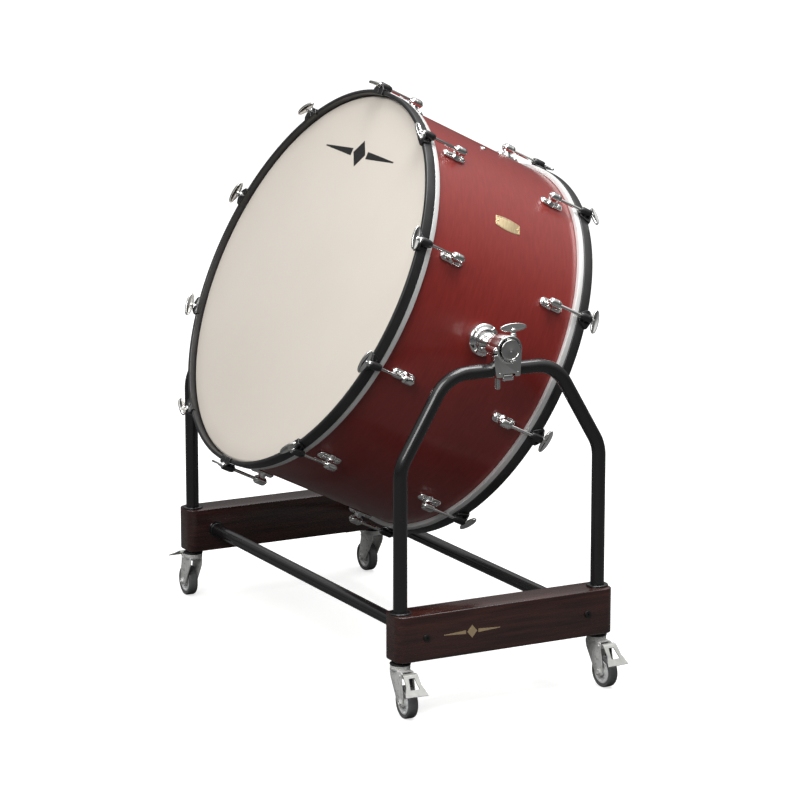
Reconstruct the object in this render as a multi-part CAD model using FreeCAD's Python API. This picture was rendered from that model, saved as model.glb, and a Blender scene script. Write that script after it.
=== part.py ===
import FreeCAD, Part
import math
import os
from FreeCAD import Placement, Rotation, Vector

# Concert bass drum on a tilting, wheeled stand. Millimetres, +Z up, origin on the floor under the
# middle of the stand. The tilt axis runs along X, and the front head faces -Y and leans up.

# ---- drum ----
DRUM_CENTRE_Z = 800.0
REST_TILT = 26.4            # degrees that the front head's normal rises above the horizontal
SHELL_R = 457.0             # 36 inch shell
SHELL_HALF = 228.6          # half of the 18 inch depth
SHELL_WALL = 10.0
RING_WALL = 7.0             # inner reinforcing rings
RING_DEPTH = 38.0
FILM = 0.8                  # drumhead film
FILM_GAP = 0.3              # between the shell's outside and the head's collar
FLESH_LOW, FLESH_HIGH = 205.0, 218.4
FLESH_OUTER_R = 468.5
HOOP_LOW, HOOP_HIGH = 218.5, 243.5
HOOP_INNER_R, HOOP_OUTER_R = 461.0, 470.0

# ---- tension hardware, ten places per head ----
RODS_PER_HEAD = 10
FIRST_ROD_ANGLE = 19.4
ROD_LINE_R = 480.0          # rods stand this far from the drum's axis
ROD_R = 4.0
LUG_AT = 141.0              # lug barrel centre from the middle of the shell
LUG_BARREL_R, LUG_BARREL_LENGTH = 10.5, 30.0
LUG_FOOT_AT = 144.5         # middle of the lug's foot
LUG_FOOT_LENGTH, LUG_FOOT_WIDTH, LUG_FOOT_THICK = 63.0, 23.0, 6.0
LUG_SCREW_SPREAD = 22.0
LUG_SCREW_R = 2.5
CLAW_LOW, CLAW_HIGH = 221.0, 247.5
CLAW_WIDTH, CLAW_NOSE = 44.0, 20.0      # across the hoop, and at the barrel
CLAW_BARREL_R = 9.5
HANDLE_LENGTH, HANDLE_WIDTH, HANDLE_THICK = 58.0, 19.0, 5.0
HANDLE_AT = 260.0           # centre of the T-handle's upright oval plate
HANDLE_NECK_R = 5.0

# ---- tilt pivot and clamps ----
PIVOT_Y, PIVOT_Z = 4.0, 813.0
SHAFT_R = 9.0
BOSS_R, BOSS_OUT = 38.0, 482.0
BOSS_SHIFT_Y, BOSS_SHIFT_Z = -2.0, 3.0  # the dome's centre from the shaft's
SLEEVE_R, SLEEVE_OUT = 25.0, 544.0
CLAMP_R, CLAMP_IN, CLAMP_OUT = 32.0, 545.0, 586.5
CAP_R, CAP_THICK = 24.0, 5.0
WING_X, WING_Y = 570.0, 21.0
WING_LENGTH, WING_WIDTH, WING_THICK = 67.0, 19.5, 5.5
WING_STEM_R = 6.5
WING_SEAT = PIVOT_Z + 31    # top of the strap's boss under the wing screw
WING_AT = PIVOT_Z + 47      # centre of the wing screw's upright oval plate

# ---- stand ----
FRAME_X = 555.5             # plane of each side frame
LEG_Y = 256.0
TUBE_R, TUBE_WALL = 16.0, 2.0
BEAM_TOP, BEAM_HEIGHT, BEAM_THICK = 233.0, 106.0, 75.0
BEAM_LENGTH = 560.0
BEAM_CORNER_R = 21.0
LEG_SOCKET = 45.0
BEND_Z = 564.0
SHOULDER_Y, TOP_BAR_Z = 138.0, 764.0
BEND_R = 90.0
CROSSBAR_Y, CROSSBAR_R = 209.0, 15.5
BOLT_R = 4.0

# ---- casters ----
WHEEL_R, WHEEL_WIDTH = 37.5, 23.0
HUB_R = 29.0
TRAIL = 34.0
FORK_TOP = 115.7
CROWN_LOW, CROWN_HIGH = 103.0, 107.0
CHEEK_IN, CHEEK_OUT = 14.0, 16.5
STEM_R = 6.0
PEDAL_PIN_X, PEDAL_PIN_Z = 31.0, 98.0
PEDAL_LIFT = 25.0           # travel of the brake pedal between locked and free, in degrees
# corner of the stand: name, side along X, side along Y, swivel away from straight outward in degrees,
# and whether the pedal is up
CORNERS = (
    ("front_right", 1, -1, -2.0, False),
    ("rear_right", 1, 1, 4.5, False),
    ("front_left", -1, -1, -2.0, True),
    ("rear_left", -1, 1, 2.5, True),
)

RUNNING = 0.05              # radial clearance of pins and shafts that turn in their holes
GAP = 0.3                   # clearance between other faces that move past each other
EMBED = 1.0                 # how far joined solids run into each other before they are fused

X_AXIS, Y_AXIS, Z_AXIS = Vector(1, 0, 0), Vector(0, 1, 0), Vector(0, 0, 1)
BEAM_LOW = BEAM_TOP - BEAM_HEIGHT
BEAM_MID = BEAM_TOP - BEAM_HEIGHT / 2
DRUM_PLACE = Placement(Vector(0, 0, DRUM_CENTRE_Z), Rotation(X_AXIS, 90.0 - REST_TILT))


def bar(radius, start, end):
    """A cylinder from one point to another."""
    along = end - start
    return Part.makeCylinder(radius, along.Length, start, along)


def box(low, high):
    """A box between two opposite corners."""
    size = high - low
    return Part.makeBox(size.x, size.y, size.z, low)


def ring(outer, inner, low, high):
    """A tube about Z."""
    body = Part.makeCylinder(outer, high - low, Vector(0, 0, low))
    return body.cut(Part.makeCylinder(inner, high - low + 2, Vector(0, 0, low - 1)))


def turned(profile, axis=Z_AXIS):
    """A solid of revolution: (radius, height) points turned about Z, then stood along axis."""
    points = [Vector(r, 0, h) for r, h in profile]
    face = Part.Face(Part.makePolygon(points + points[:1]))
    solid = face.revolve(Vector(0, 0, 0), Z_AXIS, 360)
    solid.Placement = Placement(Vector(0, 0, 0), Rotation(Z_AXIS, axis))
    return solid


def extruded(points, along):
    """A flat polygon pushed along a vector."""
    return Part.Face(Part.makePolygon(points + points[:1])).extrude(along)


def union(first, *others):
    return first.multiFuse(list(others)).removeSplitter()


def placed(shape, place):
    moved = shape.copy()
    moved.Placement = place.multiply(shape.Placement)
    return moved


def mirrored_x(shape):
    return shape.mirror(Vector(0, 0, 0), X_AXIS)


def save(node, *solids):
    shape = solids[0] if len(solids) == 1 else Part.makeCompound(list(solids))
    shape.exportStep(f"parts/{node}.step")


def both_ends(solid):
    """A drum piece of the front head and its twin at the rear, in the drum's own frame."""
    return solid, placed(solid, Placement(Vector(0, 0, 0), Rotation(X_AXIS, 180)))


# The drum's own frame: Z along its axis towards the front head, X along the tilt axis.


def shell():
    """Plywood cylinder with bevelled bearing edges, holes for the lug screws and one for the vent."""
    bore, bevel = SHELL_R - SHELL_WALL, 2.0
    body = turned([(bore, -SHELL_HALF), (SHELL_R - bevel, -SHELL_HALF), (SHELL_R, bevel - SHELL_HALF),
                   (SHELL_R, SHELL_HALF - bevel), (SHELL_R - bevel, SHELL_HALF), (bore, SHELL_HALF)])
    screw_hole = [bar(LUG_SCREW_R, Vector(-50, 0, z), Vector(5, 0, z)) for z in screw_heights()]
    holes = [placed(hole, place) for place in rod_places() for hole in screw_hole]
    vent_hole = bar(VENT_R - 2, Vector(SHELL_R - 50, 0, 0), Vector(SHELL_R + 5, 0, 0))
    holes.append(placed(vent_hole, VENT_PLACE))
    return body.cut(Part.makeCompound(holes))


def reinforcing_ring():
    return ring(SHELL_R - SHELL_WALL, SHELL_R - SHELL_WALL - RING_WALL, SHELL_HALF - RING_DEPTH, SHELL_HALF)


def head():
    """Film stretched over the bearing edge, with its collar running down into the flesh hoop."""
    inner = SHELL_R + FILM_GAP
    low = FLESH_LOW + 2
    return turned([(0, SHELL_HALF), (inner, SHELL_HALF), (inner, low), (inner + FILM, low),
                   (inner + FILM, SHELL_HALF), (inner, SHELL_HALF + FILM), (0, SHELL_HALF + FILM)])


def flesh_hoop():
    return ring(FLESH_OUTER_R, SHELL_R + FILM_GAP + FILM, FLESH_LOW, FLESH_HIGH)


def counterhoop():
    body = ring(HOOP_OUTER_R, HOOP_INNER_R, HOOP_LOW, HOOP_HIGH)
    rims = [e for e in body.Edges if e.BoundBox.ZLength < 0.1]
    return body.makeFillet(1.5, rims)


# One tension place: origin on the rod's line, X away from the drum's axis, Z towards the head.


def rod_places():
    """The placement of each tension place in the drum's frame, ten at the front, then ten at the rear."""
    places = []
    for flip in (0, 180):
        for i in range(RODS_PER_HEAD):
            angle = Rotation(Z_AXIS, FIRST_ROD_ANGLE + 360 / RODS_PER_HEAD * i)
            around = Placement(angle.multVec(Vector(ROD_LINE_R, 0, 0)), angle)
            places.append(around.multiply(Placement(Vector(0, 0, 0), Rotation(X_AXIS, flip))))
    return places


def screw_heights():
    return LUG_FOOT_AT - LUG_SCREW_SPREAD, LUG_FOOT_AT + LUG_SCREW_SPREAD


def tension_rod():
    """Threaded rod with its seat washer, neck and upright oval T-handle, one turned and welded piece."""
    washer_high = CLAW_HIGH + GAP + 1.7
    shank = bar(ROD_R, Vector(0, 0, LUG_AT - LUG_BARREL_LENGTH / 2 - 3), Vector(0, 0, washer_high + 1))
    washer = bar(7.5, Vector(0, 0, CLAW_HIGH + GAP), Vector(0, 0, washer_high))
    neck = bar(HANDLE_NECK_R, Vector(0, 0, washer_high - EMBED), Vector(0, 0, HANDLE_AT - 3))
    return union(shank, washer, neck, oval_plate(HANDLE_LENGTH, HANDLE_WIDTH, HANDLE_THICK, HANDLE_AT))


def oval_plate(length, width, thick, centre):
    """A flat oval plate standing in the YZ plane, long side along Y, with eased rims."""
    ellipse = Part.Ellipse(Vector(0, 0, 0), length / 2, width / 2).toShape()
    plate = Part.Face(Part.Wire([ellipse])).extrude(Vector(0, 0, thick))
    rims = [e for e in plate.Edges if e.BoundBox.ZLength < 0.1]
    plate = plate.makeFillet(1.2, rims)
    plate.Placement = Placement(Vector(0, 0, -thick / 2), Rotation())
    upright = Placement(Vector(0, 0, centre), Rotation(Y_AXIS, Z_AXIS, X_AXIS, "XYZ"))
    return placed(plate, upright)


def claw():
    """Hook over the counterhoop: a wide saddle with an inner tooth, narrowing to the rod's barrel."""
    tooth = HOOP_INNER_R - ROD_LINE_R - 3
    hoop_face = HOOP_OUTER_R - ROD_LINE_R
    half, nose = CLAW_WIDTH / 2, CLAW_NOSE / 2
    barrel = bar(CLAW_BARREL_R, Vector(0, 0, CLAW_LOW), Vector(0, 0, CLAW_HIGH))
    plan = [(tooth, -half), (hoop_face + 2, -half), (3, -nose),
            (3, nose), (hoop_face + 2, half), (tooth, half)]
    saddle = extruded([Vector(x, y, HOOP_HIGH - 6) for x, y in plan], Vector(0, 0, CLAW_HIGH - HOOP_HIGH + 6))
    apron = extruded([Vector(hoop_face - 1, y, z) for y, z in
                      ((-half, HOOP_HIGH - 5), (-nose, CLAW_LOW), (nose, CLAW_LOW), (half, HOOP_HIGH - 5))],
                     Vector(5, 0, 0))
    rib = box(Vector(tooth, -4, CLAW_HIGH - EMBED), Vector(-8.5, 4, CLAW_HIGH + 1.5))
    body = union(barrel, saddle, apron, rib)
    centre = Vector(-ROD_LINE_R, 0, HOOP_LOW - 10)
    hoop = Part.makeCylinder(HOOP_OUTER_R + 0.1, HOOP_HIGH - HOOP_LOW + 10, centre)
    hoop = hoop.cut(Part.makeCylinder(HOOP_INNER_R - 0.1, HOOP_HIGH - HOOP_LOW + 10, centre))
    hole = bar(ROD_R + 0.6, Vector(0, 0, CLAW_LOW - 5), Vector(0, 0, CLAW_HIGH + 5))
    return body.cut(hoop).cut(hole)


def lug():
    """Casting on the shell: a long round-ended foot, a post and the ball-ended barrel for the rod."""
    half = (LUG_FOOT_LENGTH - LUG_FOOT_WIDTH) / 2
    foot_low = SHELL_R - ROD_LINE_R - 3
    foot_high = foot_low + 3 + LUG_FOOT_THICK
    foot = box(Vector(foot_low, -LUG_FOOT_WIDTH / 2, LUG_FOOT_AT - half),
               Vector(foot_high, LUG_FOOT_WIDTH / 2, LUG_FOOT_AT + half))
    ends = [bar(LUG_FOOT_WIDTH / 2, Vector(foot_low, 0, LUG_FOOT_AT + s * half),
                Vector(foot_high, 0, LUG_FOOT_AT + s * half)) for s in (-1, 1)]
    post = box(Vector(foot_low, -6, LUG_AT - 12), Vector(0, 6, LUG_AT + 12))
    straight = LUG_BARREL_LENGTH / 2 - 5
    barrel = turned([(0, LUG_AT - straight - 5), (LUG_BARREL_R - 4, LUG_AT - straight - 5),
                     (LUG_BARREL_R, LUG_AT - straight), (LUG_BARREL_R, LUG_AT + straight),
                     (LUG_BARREL_R - 4, LUG_AT + straight + 5), (0, LUG_AT + straight + 5)])
    body = union(foot, *ends, post, barrel)
    under = Part.makeCylinder(SHELL_R, 2 * LUG_AT, Vector(-ROD_LINE_R, 0, 0))
    bore = bar(ROD_R + RUNNING, Vector(0, 0, 0), Vector(0, 0, 2 * LUG_AT))
    tapped = [bar(LUG_SCREW_R, Vector(-50, 0, z), Vector(foot_high - 1.5, 0, z)) for z in screw_heights()]
    return body.cut(under).cut(Part.makeCompound([bore] + tapped))


def lug_screw(height):
    """Pan-head screw driven outward through the shell wall into the lug's foot."""
    inside = SHELL_R - SHELL_WALL - ROD_LINE_R
    tip = SHELL_R - ROD_LINE_R + 3
    shank = bar(LUG_SCREW_R, Vector(inside - 1, 0, height), Vector(tip, 0, height))
    under_head = bar(5.5, Vector(inside - 4.5, 0, height), Vector(inside - 0.8, 0, height))
    return union(shank, under_head)


# Small fittings on the shell.
VENT_R = 8.0
VENT_PLACE = Placement(Vector(0, 0, 5), Rotation(Z_AXIS, 74))
PLATE_LENGTH, PLATE_WIDTH, PLATE_THICK = 70.0, 34.0, 1.2
PLATE_ANGLE = 38.0


def vent_grommet():
    profile = [(VENT_R - 3.5, -SHELL_WALL - 1.5), (VENT_R - 2, -SHELL_WALL - 1.5), (VENT_R - 2, 0.2),
               (VENT_R, 0.2), (VENT_R - 1, 2.0), (VENT_R - 3.5, 2.0)]
    grommet = turned(profile, X_AXIS)
    grommet = placed(grommet, Placement(Vector(SHELL_R, 0, 0), Rotation()))
    return placed(grommet, VENT_PLACE)


def maker_plate():
    """Blank curved plate with bowed long sides, hugging the shell."""
    a, b = PLATE_LENGTH / 2, PLATE_WIDTH / 2
    x = SHELL_R - 10
    sides = []
    for s in (-1, 1):
        ends = [Vector(x, s * b * 0.72, -s * a), Vector(x, s * b, 0), Vector(x, s * b * 0.72, s * a)]
        sides.append(Part.Arc(*ends).toShape())
    sides.append(Part.makeLine(Vector(x, b * 0.72, a), Vector(x, -b * 0.72, a)))
    sides.append(Part.makeLine(Vector(x, -b * 0.72, -a), Vector(x, b * 0.72, -a)))
    outline = Part.Face(Part.Wire(Part.__sortEdges__(sides)))
    body = outline.extrude(Vector(20, 0, 0)).common(ring(SHELL_R + PLATE_THICK, SHELL_R, -a - 1, a + 1))
    return placed(body, Placement(Vector(0, 0, 0), Rotation(Z_AXIS, PLATE_ANGLE)))


# Tilt pivot: modelled for the right side and mirrored for the left.


def on_pivot(x):
    return Vector(x, PIVOT_Y, PIVOT_Z)


def pivot_boss():
    """Domed casting screwed to the shell, with the sleeve that carries the shaft."""
    skirt = SHELL_R + 12
    dome = turned([(0, SHELL_R - 25), (BOSS_R, SHELL_R - 25), (BOSS_R, skirt), (BOSS_R - 3, skirt + 6),
                   (BOSS_R - 9, BOSS_OUT - 2), (0, BOSS_OUT)], X_AXIS)
    shift = Vector(0, BOSS_SHIFT_Y, BOSS_SHIFT_Z)
    dome = placed(dome, Placement(on_pivot(0) + shift, Rotation()))
    sleeve = turned([(0, skirt), (SLEEVE_R, skirt), (SLEEVE_R, SLEEVE_OUT - 2), (SLEEVE_R - 2, SLEEVE_OUT),
                     (0, SLEEVE_OUT)], X_AXIS)
    body = union(dome, placed(sleeve, Placement(on_pivot(0), Rotation())))
    shell_solid = placed(Part.makeCylinder(SHELL_R, 400, Vector(0, 0, -200)), DRUM_PLACE)
    return body.cut(shell_solid).cut(bar(SHAFT_R, on_pivot(470), on_pivot(600)))


def pivot_shaft():
    """Shaft pressed into the boss, ending in the round cap outside the clamp."""
    cap_in = CLAMP_OUT + GAP
    shaft = turned([(0, 470), (SHAFT_R, 470), (SHAFT_R, cap_in), (CAP_R - 1, cap_in), (CAP_R, cap_in + 1),
                    (CAP_R, cap_in + CAP_THICK - 1), (CAP_R - 1, cap_in + CAP_THICK),
                    (3, cap_in + CAP_THICK), (0, cap_in + CAP_THICK - 1.5)], X_AXIS)
    return placed(shaft, Placement(on_pivot(0), Rotation()))


SPLIT = 0.75                # half of the slit between the clamp body and its strap
SADDLE_FACE = 4.0           # how far the saddle is set back from the housing's outer face
FOOT_LOW, NOTCH_HIGH = PIVOT_Z - 62, PIVOT_Z - 55
KNUCKLE_Y, KNUCKLE_R = PIVOT_Y - 33, 7.5
CLAMP_BOLT_X = 531.0
BOLT_HEAD_LOW, BOLT_HEAD_HIGH = 780.0, 786.5


def top_bar(radius):
    return bar(radius, Vector(FRAME_X, -SHOULDER_Y, TOP_BAR_Z), Vector(FRAME_X, SHOULDER_Y, TOP_BAR_Z))


def clamp_knuckle():
    """Hinge barrel shared by the clamp's two halves."""
    face = CLAMP_OUT - SADDLE_FACE
    return bar(KNUCKLE_R, Vector(CLAMP_IN, KNUCKLE_Y, PIVOT_Z), Vector(face, KNUCKLE_Y, PIVOT_Z))


def clamp_body():
    """Lower half of the shaft clamp: a tapering saddle with two feet, and an inner arm for the bolt."""
    housing = bar(CLAMP_R, on_pivot(CLAMP_IN), on_pivot(CLAMP_OUT))
    outline = ((-38, PIVOT_Z - 10), (33, PIVOT_Z - 10), (32, PIVOT_Z - 26), (29.5, FOOT_LOW),
               (16.5, FOOT_LOW), (16.5, NOTCH_HIGH), (-15, NOTCH_HIGH), (-15, FOOT_LOW),
               (-30.5, FOOT_LOW), (-37, PIVOT_Z - 29))
    saddle = extruded([Vector(CLAMP_IN, PIVOT_Y + y, z) for y, z in outline],
                      Vector(CLAMP_OUT - SADDLE_FACE - CLAMP_IN, 0, 0))
    arm = box(Vector(CLAMP_BOLT_X - 9, PIVOT_Y - 12, BOLT_HEAD_LOW - 15),
              Vector(CLAMP_IN + EMBED, PIVOT_Y + 12, BOLT_HEAD_LOW))
    body = union(housing, saddle, arm, clamp_knuckle())
    upper = box(on_pivot(CLAMP_IN - 5) + Vector(0, -50, -SPLIT), on_pivot(CLAMP_OUT + 5) + Vector(0, 50, 50))
    below = box(Vector(CLAMP_IN - 5, -60, 740), Vector(FRAME_X, 60, TOP_BAR_Z))
    screw = bar(4 + RUNNING, Vector(WING_X, WING_Y, PIVOT_Z - 18), Vector(WING_X, WING_Y, PIVOT_Z + 10))
    bolt = bar(BOLT_R, Vector(CLAMP_BOLT_X, PIVOT_Y, 755), Vector(CLAMP_BOLT_X, PIVOT_Y, 790))
    shaft = bar(SHAFT_R + RUNNING, on_pivot(CLAMP_IN - 5), on_pivot(CLAMP_OUT + 5))
    return body.cut(Part.makeCompound([upper, below])).cut(top_bar(TUBE_R)).cut(shaft).cut(screw).cut(bolt)


def shaft_strap():
    """Upper half of the shaft clamp, pulled down by the wing screw."""
    body = union(bar(CLAMP_R, on_pivot(CLAMP_IN), on_pivot(CLAMP_OUT)), clamp_knuckle(),
                 bar(9, Vector(WING_X, WING_Y, PIVOT_Z), Vector(WING_X, WING_Y, WING_SEAT)))
    lower = box(on_pivot(CLAMP_IN - 5) + Vector(0, -50, -50), on_pivot(CLAMP_OUT + 5) + Vector(0, 50, SPLIT))
    screw = bar(4 + RUNNING, Vector(WING_X, WING_Y, PIVOT_Z - 18), Vector(WING_X, WING_Y, WING_SEAT + 9))
    shaft = bar(SHAFT_R + RUNNING, on_pivot(CLAMP_IN - 5), on_pivot(CLAMP_OUT + 5))
    return body.cut(lower).cut(shaft).cut(screw)


def wing_screw():
    """Tilt-lock screw: thread through the strap into the body, stem and upright oval wing."""
    thread = bar(4, Vector(0, 0, PIVOT_Z - 17), Vector(0, 0, WING_SEAT + 5))
    stem = bar(WING_STEM_R, Vector(0, 0, WING_SEAT + GAP), Vector(0, 0, WING_AT - 3))
    wing = oval_plate(WING_LENGTH, WING_WIDTH, WING_THICK, WING_AT)
    return placed(union(thread, stem, wing), Placement(Vector(WING_X, WING_Y, 0), Rotation()))


JAW_LOW = 742.0


def clamp_jaw():
    """Lower jaw under the top bar, hooked between the body's feet and pulled up by the bolt inside."""
    near, far, y = CLAMP_BOLT_X - 9, CLAMP_OUT - 6, PIVOT_Y
    floor = box(Vector(near, y - 14, JAW_LOW), Vector(far, y + 14, JAW_LOW + 8))
    lip = box(Vector(FRAME_X + 10, y - 13, JAW_LOW), Vector(far, y + 13, NOTCH_HIGH - 1.5))
    inner = box(Vector(near, y - 12, JAW_LOW), Vector(FRAME_X, y + 12, JAW_LOW + 20))
    bolt = bar(BOLT_R, Vector(CLAMP_BOLT_X, y, JAW_LOW - 5), Vector(CLAMP_BOLT_X, y, JAW_LOW + 25))
    return union(floor, lip, inner).cut(top_bar(TUBE_R)).cut(bolt)


def clamp_bolt():
    """Bolt with a cap head above the arm and a knurled nut hanging under the jaw."""
    x, y = CLAMP_BOLT_X, PIVOT_Y
    shank = bar(BOLT_R, Vector(x, y, JAW_LOW - 25), Vector(x, y, BOLT_HEAD_LOW + EMBED))
    cap_head = bar(6.5, Vector(x, y, BOLT_HEAD_LOW), Vector(x, y, BOLT_HEAD_HIGH))
    nut = bar(6.0, Vector(x, y, JAW_LOW - 28), Vector(x, y, JAW_LOW))
    return union(shank, cap_head, nut)


# Stand: the right-hand pieces, mirrored for the left.


def arc_points(before, corner, after, radius):
    """Start, middle and end of the arc that rounds a corner."""
    back = (before - corner).normalize()
    ahead = (after - corner).normalize()
    half = back.getAngle(ahead) / 2
    inward = (back + ahead).normalize()
    centre = corner + inward * (radius / math.sin(half))
    setback = radius / math.tan(half)
    return corner + back * setback, centre - inward * radius, corner + ahead * setback


def side_frame():
    """One bent tube: two upright legs that lean in to the shoulders of the top bar."""
    x = FRAME_X
    corners = [Vector(x, s * y, z) for s, y, z in
               ((-1, LEG_Y, BEAM_TOP - LEG_SOCKET), (-1, LEG_Y, BEND_Z), (-1, SHOULDER_Y, TOP_BAR_Z),
                (1, SHOULDER_Y, TOP_BAR_Z), (1, LEG_Y, BEND_Z), (1, LEG_Y, BEAM_TOP - LEG_SOCKET))]
    edges = []
    here = corners[0]
    for before, corner, after in zip(corners, corners[1:], corners[2:]):
        start, middle, end = arc_points(before, corner, after, BEND_R)
        edges.append(Part.makeLine(here, start))
        edges.append(Part.Arc(start, middle, end).toShape())
        here = end
    edges.append(Part.makeLine(here, corners[-1]))
    path = Part.Wire(edges)
    skins = []
    for radius in (TUBE_R, TUBE_R - TUBE_WALL):
        circle = Part.Wire([Part.makeCircle(radius, corners[0], Z_AXIS)])
        skins.append(path.makePipeShell([circle], True, False))
    return skins[0].cut(skins[1])


def base_beam():
    """Hardwood beam with rounded ends, sockets for legs and caster stems, and holes for the bolts."""
    a, b = BEAM_THICK / 2, BEAM_LENGTH / 2
    body = box(Vector(FRAME_X - a, -b, BEAM_LOW), Vector(FRAME_X + a, b, BEAM_TOP))
    uprights = [e for e in body.Edges if e.BoundBox.ZLength > BEAM_HEIGHT / 2]
    body = body.makeFillet(BEAM_CORNER_R, uprights)
    rims = [e for e in body.Edges if e.BoundBox.ZLength < 0.1]
    body = body.makeFillet(2.5, rims)
    cuts = []
    for s in (-1, 1):
        y = s * LEG_Y
        cuts.append(bar(TUBE_R, Vector(FRAME_X, y, BEAM_TOP - LEG_SOCKET), Vector(FRAME_X, y, BEAM_TOP + 5)))
        cuts.append(bar(STEM_R, Vector(FRAME_X, y, BEAM_LOW - 5), Vector(FRAME_X, y, BEAM_LOW + 45)))
        y = s * CROSSBAR_Y
        cuts.append(bar(BOLT_R, Vector(FRAME_X - 60, y, BEAM_MID), Vector(FRAME_X + 60, y, BEAM_MID)))
    return body.cut(Part.makeCompound(cuts))


def leg_collar(y):
    profile = [(TUBE_R, 0), (25.5, 0), (25.5, 2.5), (23.5, 4.5), (TUBE_R, 4.5)]
    return placed(turned(profile), Placement(Vector(FRAME_X, y, BEAM_TOP), Rotation()))


def crossbar(y):
    """Round tube with a welded flange and a threaded plug at each end."""
    end = FRAME_X - BEAM_THICK / 2
    plug = 25
    tube = bar(CROSSBAR_R, Vector(-end, y, BEAM_MID), Vector(end, y, BEAM_MID))
    flanges = [bar(CROSSBAR_R + 5, Vector(s * end, y, BEAM_MID), Vector(s * (end - 3), y, BEAM_MID))
               for s in (-1, 1)]
    hollow = bar(CROSSBAR_R - TUBE_WALL, Vector(plug - end, y, BEAM_MID), Vector(end - plug, y, BEAM_MID))
    thread = bar(BOLT_R, Vector(-end - 5, y, BEAM_MID), Vector(end + 5, y, BEAM_MID))
    return union(tube, *flanges).cut(hollow).cut(thread)


def crossbar_bolt(y):
    """Button-head bolt through the beam into the crossbar's plug."""
    face = FRAME_X + BEAM_THICK / 2
    profile = [(0, -95), (BOLT_R, -95), (BOLT_R, 0), (8.5, 0), (8.5, 1.5), (6.5, 4.0), (0, 4.5)]
    return placed(turned(profile, X_AXIS), Placement(Vector(face, y, BEAM_MID), Rotation()))


# Casters, in a frame with the swivel axis on Z, the floor at zero and the wheel trailing along X.


def caster_stem():
    """Kingpin with its lower flange, the upper bearing plate and the lock nut under the beam."""
    low, plate = CROWN_LOW - 6, FORK_TOP + GAP
    return turned([(0, low), (9, low), (9, CROWN_LOW - GAP), (STEM_R, CROWN_LOW - GAP), (STEM_R, plate),
                   (24, plate), (24, plate + 4), (12, plate + 5), (12, BEAM_LOW), (STEM_R, BEAM_LOW),
                   (STEM_R, BEAM_LOW + 45), (0, BEAM_LOW + 45)])


def caster_fork():
    """Pressed fork: crown with the lower bearing ring, two tapering cheeks and the pedal's ears."""
    ring_body = bar(23, Vector(0, 0, CROWN_LOW), Vector(0, 0, FORK_TOP))
    crown = box(Vector(-21, -CHEEK_OUT, CROWN_LOW), Vector(30, CHEEK_OUT, CROWN_HIGH))
    cheeks = []
    for low in (CHEEK_IN, -CHEEK_OUT):
        end = bar(11, Vector(TRAIL, low, WHEEL_R), Vector(TRAIL, low + CHEEK_OUT - CHEEK_IN, WHEEL_R))
        outline = [Vector(x, low, z) for x, z in
                   ((-21, CROWN_HIGH), (38, CROWN_HIGH), (38, 92), (TRAIL + 11, 60), (TRAIL + 11, WHEEL_R),
                    (TRAIL - 9.5, WHEEL_R - 5.5), (-15, 82), (-21, 95))]
        cheeks.append(union(extruded(outline, Vector(0, CHEEK_OUT - CHEEK_IN, 0)), end))
    kingpin = bar(STEM_R + RUNNING, Vector(0, 0, 90), Vector(0, 0, 130))
    axle = bar(4, Vector(TRAIL, -30, WHEEL_R), Vector(TRAIL, 30, WHEEL_R))
    rivet = bar(2.5, Vector(PEDAL_PIN_X, -30, PEDAL_PIN_Z), Vector(PEDAL_PIN_X, 30, PEDAL_PIN_Z))
    return union(ring_body, crown, *cheeks).cut(kingpin).cut(axle).cut(rivet)


def headed_pin(radius, head_r, head_thick, half):
    """Pin along Y with a head at each end."""
    return turned([(0, -half - head_thick), (head_r, -half - head_thick), (head_r, -half), (radius, -half),
                   (radius, half), (head_r, half), (head_r, half + head_thick), (0, half + head_thick)],
                  Y_AXIS)


def caster_axle():
    return placed(headed_pin(4, 7, 4, CHEEK_OUT), Placement(Vector(TRAIL, 0, WHEEL_R), Rotation()))


def pedal_rivet():
    return placed(headed_pin(2.5, 4, 1.5, CHEEK_OUT),
                  Placement(Vector(PEDAL_PIN_X, 0, PEDAL_PIN_Z), Rotation()))


def wheel():
    """Moulded core with a grey tread bonded round it."""
    rim, web, boss, hub_boss_r = 10.0, 4.0, CHEEK_IN - GAP, 9.0
    bore = 4 + RUNNING
    core = turned([(bore, -boss), (hub_boss_r, -boss), (hub_boss_r + 1, -web), (HUB_R - 5, -web),
                   (HUB_R - 4, -rim), (HUB_R, -rim), (HUB_R, rim), (HUB_R - 4, rim), (HUB_R - 5, web),
                   (hub_boss_r + 1, web), (hub_boss_r, boss), (bore, boss)], Y_AXIS)
    half, soft = WHEEL_WIDTH / 2, 3.0
    tread = turned([(HUB_R, -half + 1), (WHEEL_R - soft, -half), (WHEEL_R, -half + soft),
                    (WHEEL_R, half - soft), (WHEEL_R - soft, half), (HUB_R, half - 1)], Y_AXIS)
    place = Placement(Vector(TRAIL, 0, WHEEL_R), Rotation())
    return placed(core, place), placed(tread, place)


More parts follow.
